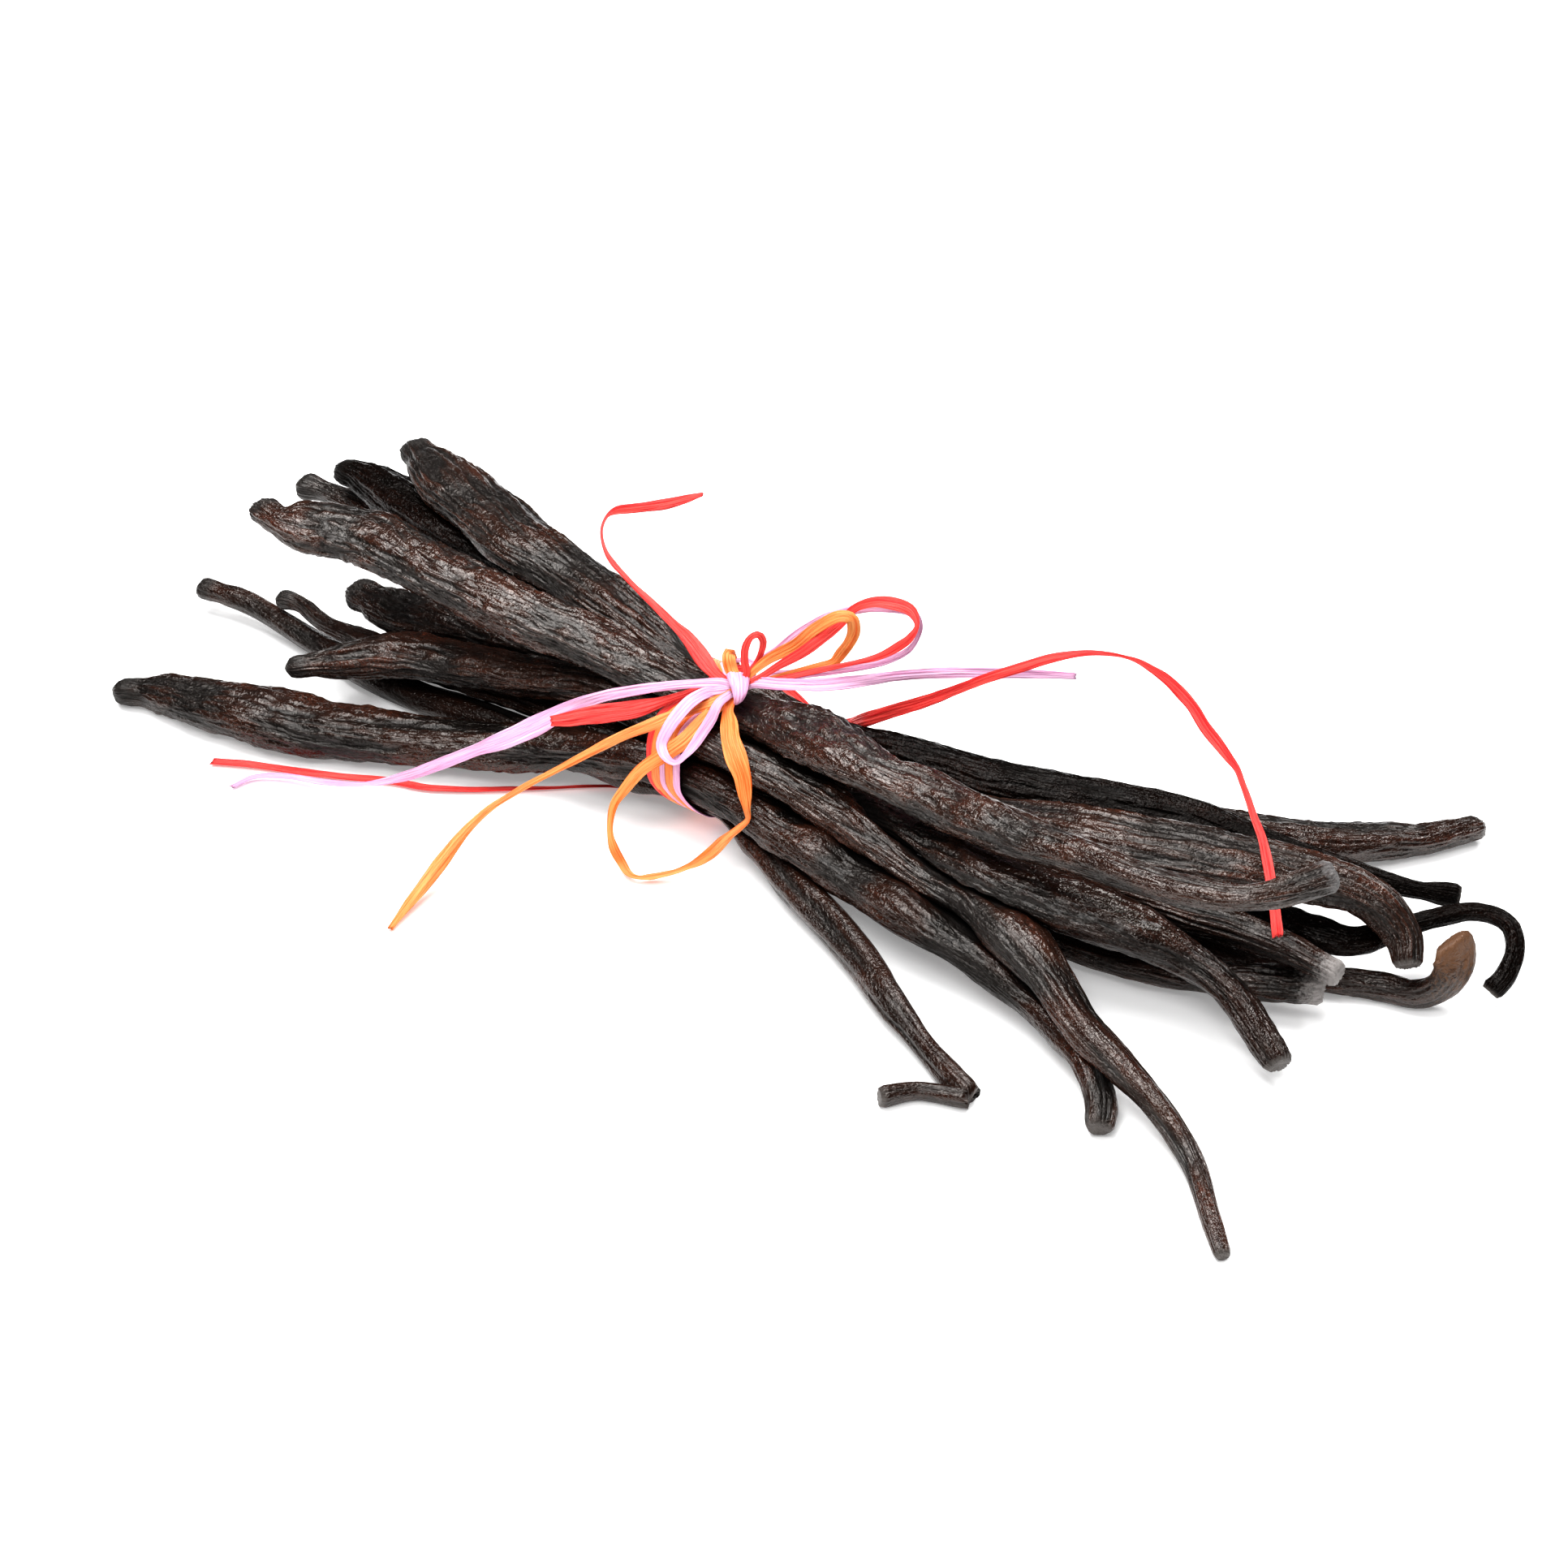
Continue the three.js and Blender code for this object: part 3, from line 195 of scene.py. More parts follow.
# Routes of the free strands, in stations of the same kind as the courses.
STRANDS = {
    "tail_pink_left": [
        [1.7, -1.4, 19.4, 1.5], [-0.8, -3.2, 19.4, 1.2], [-4.1, -5.5, 19, 1.2], [-7.3, -8, 18.4, 1.4],
        [-10.5, -10.7, 17.6, 1.5], [-13.9, -13.1, 15.7, 2], [-17.2, -15.7, 13.3, 2.6],
        [-19.9, -18.2, 11.6, 2.5], [-23, -20.3, 9.9, 1.6], [-26.7, -22.6, 7.7, 1.6],
        [-31.7, -25.2, 4.8, 1.3], [-37.1, -27.3, 2.5, 0.7], [-43, -28.9, 1.2, 1.2],
        [-48.6, -30.7, 0.8, 1.1], [-52, -33.1, 0.6, 1], [-52.9, -36.1, 0.5, 0.8],
    ],
    "tail_red_left": [
        [-0.6, -2.1, 18.3, 0.6], [-2.5, -4.2, 17.6, 0.9], [-3.8, -6, 17.2, 1.2], [-5.1, -7.6, 16.8, 1.8],
        [-7, -9.4, 16.3, 2.4], [-8.7, -11.4, 16.3, 2.5], [-10.7, -13.7, 16.3, 2.2],
        [-11.9, -15.4, 16.3, 1.8], [-13.2, -17, 16.4, 1.3],
    ],
    "tail_orange_left": [
        [3, -2.8, 18.6, 1.2], [1.3, -5, 17.8, 1.4], [-0.7, -7.5, 17.2, 1.5], [-3.1, -10.2, 16, 1.5],
        [-5.4, -12.3, 14.8, 1.3], [-7.5, -14.5, 13.4, 1.2], [-9.7, -16.8, 11.8, 1],
        [-12, -18.9, 10.1, 0.8], [-14.1, -21, 8.6, 0.8], [-15.6, -23.1, 7.4, 0.8],
        [-16.8, -25.6, 6.4, 0.9], [-17.5, -29.3, 5, 1.2], [-17.4, -34.2, 3.2, 1.8], [-17, -39.4, 1.6, 1.7],
        [-16, -45.5, 0.5, 0.8],
    ],
    "tail_red_back": [
        [-0.1, 0, 19.2, 1.4], [-2.3, 0.7, 19.7, 2.1], [-4.5, 1.6, 20.4, 2.1], [-6.9, 2.6, 21, 1.7],
        [-10.1, 3.6, 21.5, 1.1], [-12.8, 4.5, 21.9, 1.1], [-15.7, 5.5, 22.2, 0.9], [-18.4, 6.3, 22.6, 0.7],
        [-20.9, 7.2, 23, 0.7], [-23.3, 8.1, 23.4, 0.8], [-25.3, 9.1, 23.9, 0.6], [-27.1, 10.5, 24.6, 0.4],
        [-28.5, 12.2, 25.1, 0.4], [-29.2, 14.2, 25.7, 0.5], [-29.1, 16.1, 25.7, 1.1],
        [-27.9, 18.1, 25.5, 1.3], [-26.6, 19.9, 25.4, 1.4], [-25, 21.8, 25.5, 1.5],
        [-23.4, 24.2, 25.7, 1.1], [-22.3, 26, 25.9, 0.6],
    ],
    "tail_pink_right": [
        [5.1, 0.4, 20, 1.6], [8.6, 1.3, 20.6, 1.6], [13.7, 3.7, 21.2, 1.7], [17.5, 7.1, 21.5, 1.5],
        [20.3, 10.2, 21.6, 1.3], [24.5, 13.9, 21.7, 1.4], [28.8, 18.5, 20.9, 1.4], [33.1, 23.1, 19.9, 1.1],
        [36.6, 26.3, 19.3, 0.9],
    ],
    "tail_red_arch": [
        [0.2, 13.2, 10.4, 1.1], [2.1, 13.4, 9.7, 1.3], [4.1, 13.2, 8.7, 1.5], [6.6, 13, 7.6, 1.7],
        [9.7, 13.3, 8, 1.9], [16.1, 9.5, 13.7, 1.9], [20.4, 9.4, 16.8, 1.7], [25.3, 9, 20.4, 1.6],
        [30.2, 8.6, 24.4, 1.2], [34.6, 8.8, 27.8, 1.2], [38.4, 9.8, 30.2, 1.2], [41.8, 11.4, 32, 1.1],
        [45.1, 13.3, 32.9, 0.7], [47.5, 14.7, 32.9, 0.5], [48.8, 15.4, 32.7, 0.4], [50.3, 16.1, 32.3, 0.6],
        [52.1, 16.5, 31.6, 0.9], [53.9, 16.9, 30.7, 1.2], [56, 16.9, 29.5, 1.4], [57.9, 16.6, 28.4, 1.4],
        [60, 15.8, 27, 1.5], [62.1, 15.3, 25.8, 1.4], [64.1, 14.7, 24.7, 1.1], [65.4, 14.3, 24, 0.8],
        [66.8, 13.3, 23, 0.7], [68, 12.4, 22.2, 0.8], [69.7, 11, 21, 0.9], [71.6, 9.5, 19.9, 1],
        [73.3, 7.7, 18.8, 1.2], [75.8, 4.7, 17.1, 1.2], [79.1, 0.4, 14.6, 1.3],
    ],
    "tail_red_floor": [
        [-0.9, -1.8, 0.5, 0.6], [-7.1, -4.1, 0.5, 0.6], [-12.4, -6.6, 0.5, 0.6], [-15.5, -8.9, 0.5, 0.6],
        [-19.2, -12, 0.5, 0.7], [-23.4, -15.3, 0.5, 1], [-27.6, -18.4, 0.5, 1.1], [-32.2, -21.2, 0.5, 1.3],
        [-37, -23, 0.5, 1.3], [-42.4, -25.8, 0.5, 1.3], [-47.5, -28.1, 0.5, 1.5], [-53.3, -30.5, 0.5, 1.4],
        [-59.1, -33.5, 0.5, 1.4],
    ],
    "loop_orange_front": [
        [2.7, -3.2, 17.6, 1.4], [2.6, -4.2, 17.4, 1.6], [2.5, -7.1, 16.7, 1.9], [2.1, -9.7, 15.6, 2],
        [0.5, -11.9, 14, 1.9], [-1.8, -13.7, 11.7, 1.6], [-3, -15.5, 9.4, 1.4], [-3.6, -17, 7.7, 1.1],
        [-3.3, -18.3, 5.8, 0.8], [-2.6, -19.2, 4.4, 0.8], [-1.6, -19.8, 3.2, 1.2], [-0.5, -19.8, 1.6, 1.2],
        [1.2, -20.4, 0.9, 1], [2.5, -20.2, 0.8, 0.8], [3.7, -19.3, 0.9, 1.3], [4.9, -18.2, 1.1, 1.1],
        [6, -17.2, 1.4, 0.8], [7.1, -16.1, 2, 0.8], [8.8, -15.7, 3.5, 1.2], [9.9, -14.7, 4.7, 1.5],
        [11, -14.2, 6.3, 1.4], [12.2, -13.8, 7.9, 1], [13.2, -13.2, 9.1, 0.9], [13.9, -12.5, 10.2, 0.7],
        [13.6, -12.3, 11.6, 1], [13, -11.8, 13, 1.7], [11.9, -10.9, 15, 2.2], [10.2, -9.9, 16.6, 2.7],
        [8.2, -8.3, 17.6, 2.4], [6.4, -6.2, 18.1, 2.1], [4.9, -4.4, 18.4, 1.3],
    ],
    "loop_pink_front": [
        [1.4, -2.6, 18.8, 1], [1, -3.5, 19, 1.4], [0.6, -6.3, 19, 1.8], [0.3, -8.5, 18.1, 1.8],
        [-0.1, -10.2, 16.7, 1.7], [-0.1, -11.6, 15.1, 1.4], [1.6, -12.8, 14.5, 1], [2.8, -12.6, 14.1, 0.7],
        [3.7, -11.9, 15.1, 0.9], [4, -10.5, 15.9, 1.2], [4.2, -8.9, 17.1, 1.4], [4.5, -7.4, 18.5, 1.4],
        [4.4, -5.8, 19.8, 1.2],
    ],
    "loop_orange_right": [
        [4.9, 1.3, 21.3, 1], [5.8, 2.9, 22.4, 1.3], [7, 4, 23.3, 1.5], [8.4, 4.9, 24.4, 1.5],
        [10.9, 5.8, 27.3, 1.5], [13.7, 7, 29.6, 1.6], [14.9, 7.8, 29.3, 1.7], [15.2, 8, 27.6, 1.6],
        [14.5, 8.1, 25.5, 1.5], [13.4, 7.8, 23.5, 1.5], [12.7, 7.2, 22.3, 1.2], [11.2, 6.3, 21.6, 1],
        [8.3, 4.4, 20.4, 0.9],
    ],
    "loop_red_right": [
        [6.1, 1.3, 20.9, 0.8], [7.5, 2.3, 22.2, 1], [10.2, 4.2, 24.5, 1.4], [11.9, 6.1, 26.3, 1.4],
        [13.1, 8.3, 27.8, 1.2], [14, 9.6, 29.4, 1], [16.4, 10.3, 30.9, 1.4], [18.9, 10.8, 31.4, 1.6],
        [21.4, 11.2, 31.1, 1.4], [22.8, 10.5, 29.9, 0.6], [22.6, 9.4, 28.6, 1], [21.2, 9, 27, 1.2],
        [19, 7.9, 25.2, 0.9], [16.1, 6.4, 23.9, 0.6], [11.6, 4.1, 22.1, 0.8],
    ],
    "loop_pink_right": [
        [3.8, 3, 20.6, 1.2], [5.8, 5.2, 22.6, 1.3], [7.1, 6.3, 24.2, 1.3], [9, 8, 26, 1.3],
        [11.5, 9.4, 27.8, 1.2], [14.2, 10.9, 28.9, 1.2], [18.2, 11.2, 30.3, 1.2], [20.9, 12, 30.3, 1.2],
        [22, 12.1, 29, 1], [21.7, 12.5, 26.7, 0.6], [20.5, 12.1, 24.4, 0.8], [18, 11.1, 22.5, 1],
        [12.9, 9.3, 20.3, 1.2], [8.1, 7.2, 18.8, 1.2], [4.9, 4.6, 18.6, 1.2],
    ],
    "loop_red_small": [
        [4.3, 0.3, 21, 0.9], [3.7, 0.7, 22.4, 1], [3.5, 1.2, 24.2, 1], [3.8, 2, 25.4, 0.8],
        [4.5, 2.6, 25.7, 0.9], [4.9, 3, 24.7, 0.9], [4.5, 3, 22.6, 0.8], [4, 2.8, 21.4, 0.6],
    ],
}

# ---- Curves ----


def segment(values, t):
    """For each t from 0 to 1, the low end of its span among the values and how far along it is."""
    place = t * (len(values) - 1)
    low = np.clip(np.floor(place).astype(int), 0, len(values) - 2)
    return low, place - low


def route_points(stations, t):
    """Points on the centripetal Catmull-Rom curve through the stations."""
    low, blend = segment(stations, t)
    ends = 2 * stations[0] - stations[1], 2 * stations[-1] - stations[-2]
    padded = np.vstack([ends[0], stations, ends[1]])
    p0, p1, p2, p3 = (padded[low + k] for k in range(4))
    spans = (p0, p1), (p1, p2), (p2, p3)
    d0, d1, d2 = (np.sqrt(np.linalg.norm(b - a, axis=1))[:, None] for a, b in spans)
    leave = ((p1 - p0) / d0 - (p2 - p0) / (d0 + d1) + (p2 - p1) / d1) * d1
    arrive = ((p2 - p1) / d1 - (p3 - p1) / (d1 + d2) + (p3 - p2) / d2) * d1
    w = blend[:, None]
    cubic = 2 * p1 - 2 * p2 + leave + arrive
    square = -3 * p1 + 3 * p2 - 2 * leave - arrive
    return ((cubic * w + square) * w + leave) * w + p1


def spline_values(values, t):
    """Values on the uniform Catmull-Rom spline through a list of numbers."""
    values = np.asarray(values, float)
    low, w = segment(values, t)
    last = len(values) - 1
    v0, v1 = values[np.maximum(low - 1, 0)], values[low]
    v2, v3 = values[low + 1], values[np.minimum(low + 2, last)]
    leave, arrive = (v2 - v0) / 2, (v3 - v1) / 2
    bend = (2 * v1 - 2 * v2 + leave + arrive) * w + 3 * v2 - 3 * v1 - 2 * leave - arrive
    return (bend * w + leave) * w + v1


def unit(vectors):
    return vectors / np.linalg.norm(vectors, axis=-1, keepdims=True)


def lengths_along(points):
    """The length of the way from the first point to each of them."""
    steps = np.linalg.norm(np.diff(points, axis=0), axis=1)
    return np.concatenate([[0], np.cumsum(steps)])


COURSE_SPOTS = 201  # places at which a course's length is measured
NUDGE = 1e-4  # the step either way that gives a course's direction


class Course:
    """A curve at even steps: centres, the direction ahead and the two directions of the section."""

    def __init__(self, stations, step, turns=(0, 0)):
        self.widths = [row[3] for row in stations]
        stations = np.array([row[:3] for row in stations], float)
        spots = np.linspace(0, 1, COURSE_SPOTS)
        reached = lengths_along(route_points(stations, spots))
        self.length = reached[-1]
        count = max(2, int(round(self.length / step)))
        self.share = np.linspace(0, 1, count + 1)
        self.along = self.share * self.length
        self.t = np.interp(self.along, reached, spots)
        self.centre = route_points(stations, self.t)
        after = route_points(stations, np.minimum(self.t + NUDGE, 1))
        before = route_points(stations, np.maximum(self.t - NUDGE, 0))
        self.ahead = unit(after - before)
        side = np.cross([0, 0, 1], self.ahead[0])
        sides = []
        for ahead in self.ahead:
            side = unit(side - ahead * side.dot(ahead))
            sides.append(side)
        sides = np.array(sides)
        roll = np.radians(turns[0] + (turns[1] - turns[0]) * self.share)[:, None]
        self.across = sides * np.cos(roll) + np.cross(self.ahead, sides) * np.sin(roll)
        self.up = np.cross(self.ahead, self.across)


def pod_course(pod, step):
    course = Course(pod["course"], step, pod["roll"])
    depths = [row[4] if len(row) > 4 else row[3] * (1 - FLATTENING * row[3]) for row in pod["course"]]
    course.half_width = spline_values(course.widths, course.t) / 2
    course.half_depth = spline_values(depths, course.t) / 2
    return course


# ---- How the pods share their room ----

HALVINGS = 8  # rounds of narrowing down a free share


def share_of(course, points):
    """How far points lie out from a pod's middle, as a share of the way to its full surface."""
    away = (course.centre**2).sum(1) - 2 * points @ course.centre.T
    near = away.argmin(1)
    off = points - course.centre[near]
    past = np.maximum(0, np.abs((off * course.ahead[near]).sum(1)) - SAMPLE_STEP)
    across = (off * course.across[near]).sum(1) / course.half_width[near]
    up = (off * course.up[near]).sum(1) / course.half_depth[near]
    return np.sqrt(across**2 + up**2 + (past / course.half_depth[near]) ** 2)


def band_drift(angle):
    """How far the bands lean along the bundle at an angle round the waist."""
    turn = (angle / (2 * np.pi)) % 1 * len(BAND_DRIFT)
    low = np.floor(turn).astype(int) % len(BAND_DRIFT)
    blend = turn % 1
    eased = blend * blend * (3 - 2 * blend)
    drift = np.array(BAND_DRIFT)
    return drift[low] + (drift[(low + 1) % len(drift)] - drift[low]) * eased


def within_waist(points):
    """Which points the bands leave room for: an oval that widens away from them."""
    y = points[:, 1] / (WAIST_WIDTH / 2)
    z = (points[:, 2] - WAIST_Z) / (WAIST_HEIGHT / 2)
    from_band = np.abs(points[:, 0] - band_drift(np.arctan2(z, y)))
    flare = np.maximum(0, from_band - WAIST_HOLD) / WAIST_FLARE
    return np.hypot(y, z) <= 1 + flare * flare


def free_shares(others, centres, reaches):
    """The part of each reach that a pod can fill: up to the table, the raffia or its neighbours."""
    gaps = POD_GAP / np.linalg.norm(reaches, axis=1)

    def fits(shares):
        points = centres + reaches * shares[:, None]
        good = (points[:, 2] >= 0) & within_waist(points)
        for other in others:
            good &= share_of(other, points) - shares >= gaps
        return good

    tight = ~fits(np.ones(len(centres)))
    shares = np.ones(len(centres))
    centres, reaches, gaps = centres[tight], reaches[tight], gaps[tight]
    low, high = np.zeros(len(centres)), np.ones(len(centres))
    for _ in range(HALVINGS):
        middle = (low + high) / 2
        good = fits(middle)
        low, high = np.where(good, middle, low), np.where(good, high, middle)
    shares[tight] = np.maximum(low, LEAST_SHARE)
    return shares


# ---- Random relief ----

RIPPLE_HEIGHT = 1.6  # brings the heights of a ripple up to about 1


def ease(x):
    return x * x * x * (x * (x * 6 - 15) + 10)


def ripple(rng, along, around, cells_along, cells_around):
    """Smooth random heights from -1 to 1 over a tube; around goes once round from 0 to 1."""
    cells_along, cells_around = max(2, int(cells_along)), max(3, int(cells_around))
    angles = rng.uniform(0, 2 * np.pi, (cells_along + 2, cells_around))
    x = np.clip(along, 0, 1) * cells_along
    y = (around % 1) * cells_around
    i, j = np.floor(x).astype(int), np.floor(y).astype(int)
    fx, fy = x - i, y - j
    j %= cells_around
    next_j = (j + 1) % cells_around

    def corner(ci, cj, dx, dy):
        angle = angles[ci, cj]
        return np.cos(angle) * dx + np.sin(angle) * dy

    def ring(ci, dx):
        return corner(ci, j, dx, fy) * (1 - ease(fy)) + corner(ci, next_j, dx, fy - 1) * ease(fy)

    return RIPPLE_HEIGHT * (ring(i, fx) * (1 - ease(fx)) + ring(i + 1, fx - 1) * ease(fx))


# ---- Meshes ----


def make_object(name, points, faces, attributes):
    """A mesh object from millimetres measured from the tie, with named values at its points."""
    mesh = bpy.data.meshes.new(name)
    mesh.from_pydata(((points + TIE) * MM).tolist(), [], faces)
    mesh.polygons.foreach_set("use_smooth", [True] * len(mesh.polygons))
    for label, values in attributes.items():
        kind = "FLOAT_VECTOR" if values.ndim == 2 else "FLOAT"
        layer = mesh.attributes.new(label, kind, "POINT")
        layer.data.foreach_set("vector" if values.ndim == 2 else "value", values.ravel())
    mesh.update()
    return add_object(name, mesh)


def tube_faces(rings, sides, closed):
    """Quads between rings, and fans to two poles that follow the rings' points if not closed."""
    faces = []
    spans = rings if closed else rings - 1
    for i in range(spans):
        near, far = i * sides, (i + 1) % rings * sides
        for k in range(sides):
            after = (k + 1) % sides
            faces.append((near + k, near + after, far + after, far + k))
    if not closed:
        start, last = rings * sides, (rings - 1) * sides
        for k in range(sides):
            after = (k + 1) % sides
            faces.append((start, after, k))
            faces.append((start + 1, last + k, last + after))
    return faces


# ---- Pods ----

POD_STEP = 0.64
POD_SIDES = 120
COARSE = 2  # every so many rings and sides the pods' contact is worked out
ROUND_END, BLUNT_END = 0.4, 0.24  # lengths of the rounded ends, as shares of their widths
BLUNT_LOSS = 0.2  # how much of its section a stem end loses
NECK_AT, NECK_LENGTH, NECK_DEPTH = 4.2, 1.5, 0.13  # the pinch behind a blossom end
START_CAP, END_CAP = 0.06, 0.05  # how far the poles stand out, as shares of the end widths
FULL_RELIEF = 2.6  # half the thickness of a pod whose folds have their full height
LOW_RELIEF, HIGH_RELIEF = 0.15, 1.1  # the least and the most of it
PRESSED_RELIEF = 0.4  # what is left of it where a neighbour presses
POD_FLOOR = 0.02
POD_HEIGHT_UNIT = 0.3  # relief that the material sees as 1


def blur(values, passes):
    for _ in range(passes):
        around = (np.roll(values, 1, 1) + 2 * values + np.roll(values, -1, 1)) / 4
        padded = np.vstack([around[:1], around, around[-1:]])
        values = (padded[:-2] + 2 * around + padded[2:]) / 4
    return values


def contact_grid(course, others, reach):
    """Free shares on every ring and side, worked out on a coarse grid and spread smoothly."""
    rings, sides = reach.shape[:2]
    rows = np.unique(np.append(np.arange(0, rings, COARSE), rings - 1))
    cols = np.arange(0, sides, COARSE)
    picked = reach[rows][:, cols].reshape(-1, 3)
    centres = np.repeat(course.centre[rows], len(cols), 0)
    shares = free_shares(others, centres, picked).reshape(len(rows), len(cols))
    looped = np.hstack([shares, shares[:, :1]])
    around = np.array([np.interp(np.arange(sides), np.append(cols, sides), row) for row in looped])
    full = np.array([np.interp(np.arange(rings), rows, column) for column in around.T]).T
    return blur(full, 2)


def tip_profile(course):
    """How much of its section a pod has at each ring: a round blossom end, a blunt stem end."""

    def rounding(share):
        return np.sqrt(np.clip(1 - (1 - np.minimum(share, 1)) ** 2, 0, 1))

    start = rounding(course.along / (ROUND_END * course.widths[0]) + START_CAP)
    neck = 1 - NECK_DEPTH * np.exp(-((course.along - NECK_AT) / NECK_LENGTH) ** 2)
    end = rounding((course.length - course.along) / (BLUNT_END * course.widths[-1]))
    return start * (1 - BLUNT_LOSS + BLUNT_LOSS * end) * neck


def billow(values, sharpness=0.8):
    """Rounded swellings with sharp creases between them, about 0 in the mean."""
    return np.abs(values) ** sharpness - 0.36


# Ripples that bend the lengthwise lines: reach as a share of the way round, length of their waves
# and how many go round.
WANDER = [(0.04, 22, 3), (0.02, 6, 6), (0.009, 2.4, 11)]
CALM_FROM, CALM_OVER = 0.56, 0.16  # where along a pod its smoother stem half begins
SINK = 0.05  # how far the whole skin lies below its mean, in millimetres


def relief(course, rng, style):
    """The height of the skin over the plain form, on the grid, in millimetres."""
    along = np.repeat(course.share[:, None], POD_SIDES, 1)
    around = np.repeat((np.arange(POD_SIDES) / POD_SIDES)[None], len(along), 0)

    def field(waves, count, along=along, around=around):
        return ripple(rng, along, around, course.length / waves, count)

    turned = around + sum(reach * field(waves, count) for reach, waves, count in WANDER)
    shifted = along + (1.4 / course.length) * field(7, 5)
    ridges, run = style["ridges"], style["run"]
    folds = billow(field(42, 4, around=turned))
    ridge = billow(field(run, ridges, around=turned), 0.7)
    crumple = billow(field(2.2, ridges * 0.8, shifted, turned))
    fine = billow(field(0.45 * run, ridges * 1.8, shifted, turned), 0.7)
    cross = billow(field(1.7, 6, shifted))
    lumps = field(9, 3)
    patch = ease(np.clip(0.5 + 1.3 * field(13, 3), 0, 1))  # 1 where ridges rule, 0 where crumples do
    wrinkles = style["ridge"] * ridge * (0.55 + 0.45 * patch)
    wrinkles += style["crumple"] * crumple * (1.2 - 0.7 * patch) + style["fine"] * fine
    wrinkles += style["cross"] * cross * patch
    calm = style["calm"] * ease(np.clip((along - CALM_FROM) / CALM_OVER, 0, 1))
    return style["fold"] * folds + wrinkles * (1 - calm) + style["lump"] * lumps * (1 + calm) - SINK


# Kind of material, heights of the skin's forms, ridges round a pod and the millimetres that each
# runs, and how much calmer the stem half is.
SKIN = {
    "kind": "dark", "fold": 0.5, "ridge": 0.52, "crumple": 0.28, "fine": 0.4, "cross": 0.16,
    "lump": 0.3, "ridges": 19, "run": 11, "calm": 0.0,
}
STYLES = {
    "pod_front_wide": {"kind": "dull", "crumple": 0.26, "lump": 0.7, "ridges": 22, "calm": 0.5},
    "pod_front_tail": {"kind": "brown", "ridge": 0.6, "cross": 0.2, "run": 13, "calm": 0.5, "lump": 0.4},
    "pod_low_blade": {
        "kind": "dull", "fold": 0.7, "ridge": 0.24, "fine": 0.1, "crumple": 0.08, "cross": 0.05,
        "ridges": 8,
    },
    "pod_low_dark": {"kind": "pale_end", "ridges": 14},
    "pod_mid_curved": {"crumple": 0.42, "ridge": 0.42, "ridges": 20, "calm": 0.25},
    "pod_top": {"kind": "glossy", "ridge": 0.46, "crumple": 0.4, "cross": 0.28, "ridges": 21, "calm": 0.35},
    "pod_back_floor": {"ridge": 0.32, "crumple": 0.26, "ridges": 15},
    # The black kind, here and on the hook, is a darkened copy of the skin: painted shade.
    "pod_back_black": {"kind": "black", "ridge": 0.6, "crumple": 0.16, "ridges": 21, "run": 20},
    "pod_back_ridged": {"kind": "brown", "ridge": 0.65, "crumple": 0.18, "ridges": 25, "run": 20},
    "pod_hook": {"kind": "black", "ridge": 0.26, "fold": 0.4, "ridges": 12},
    "pod_curl": {"kind": "papery_end", "ridge": 0.26, "fold": 0.4, "ridges": 12},
    "pod_mid_red": {"kind": "pale_end", "ridges": 15, "run": 18},
}


def outward_of(base, reach):
    """The way straight out of a grid of points, on the side to which they reach."""
    downstream = np.gradient(base, axis=0)
    sideways = (np.roll(base, -1, 1) - np.roll(base, 1, 1)) / 2
    outward = unit(np.cross(sideways, downstream) + 1e-9)
    flip = np.sign((outward * reach).sum(-1, keepdims=True))
    return outward * np.where(flip == 0, 1, flip)


def pod_attributes(course, angle, height, shares):
    """What the pods' material reads at the points: the grid's, then the two poles'."""
    radius = np.sqrt(course.half_width * course.half_depth)[:, None]
    along = np.repeat(course.along[:, None], POD_SIDES, 1)
    flow = np.stack([along, np.cos(angle)[None] * radius, np.sin(angle)[None] * radius], -1)
    to_end = np.repeat(course.length - course.along, POD_SIDES)
    return {
        "flow": np.vstack([flow.reshape(-1, 3), [0, 0, 0], [course.length, 0, 0]]),
        "from_tip": np.append(along.ravel(), [0, course.length]),
        "height": np.append(height.ravel() / POD_HEIGHT_UNIT, [0, 0]),
        "to_end": np.append(to_end, [course.length, -0.5]),
        "pressed": np.append(blur(1 - shares, 1).ravel(), [0, 0]),
    }


def make_pod(name, pod, style, others, seed):
    """A pod's skin: the plain form, held back by its neighbours, with the relief over it."""
    course = pod_course(pod, POD_STEP)
    angle = 2 * np.pi * np.arange(POD_SIDES) / POD_SIDES
    tip = tip_profile(course)
    wide = (course.half_width * tip)[:, None, None] * np.cos(angle)[None, :, None]
    deep = (course.half_depth * tip)[:, None, None] * np.sin(angle)[None, :, None]
    reach = course.across[:, None] * wide + course.up[:, None] * deep
    shares = contact_grid(course, others, reach)
    base = course.centre[:, None] + reach * shares[..., None]
    height = relief(course, np.random.RandomState(seed), style)
    fading = np.clip(course.half_depth * tip / FULL_RELIEF, LOW_RELIEF, HIGH_RELIEF)[:, None]
    height *= fading * (PRESSED_RELIEF + (1 - PRESSED_RELIEF) * shares)
    skin = base + outward_of(base, reach) * height[..., None]
    skin[..., 2] = np.maximum(skin[..., 2], POD_FLOOR)
    start = course.centre[0] - course.ahead[0] * START_CAP * course.widths[0]
    end = course.centre[-1] - course.ahead[-1] * END_CAP * course.widths[-1]
    points = np.vstack([skin.reshape(-1, 3), start, end])
    faces = tube_faces(len(course.along), POD_SIDES, False)
    return make_object(name, points, faces, pod_attributes(course, angle, height, shares))


# ---- Raffia ----

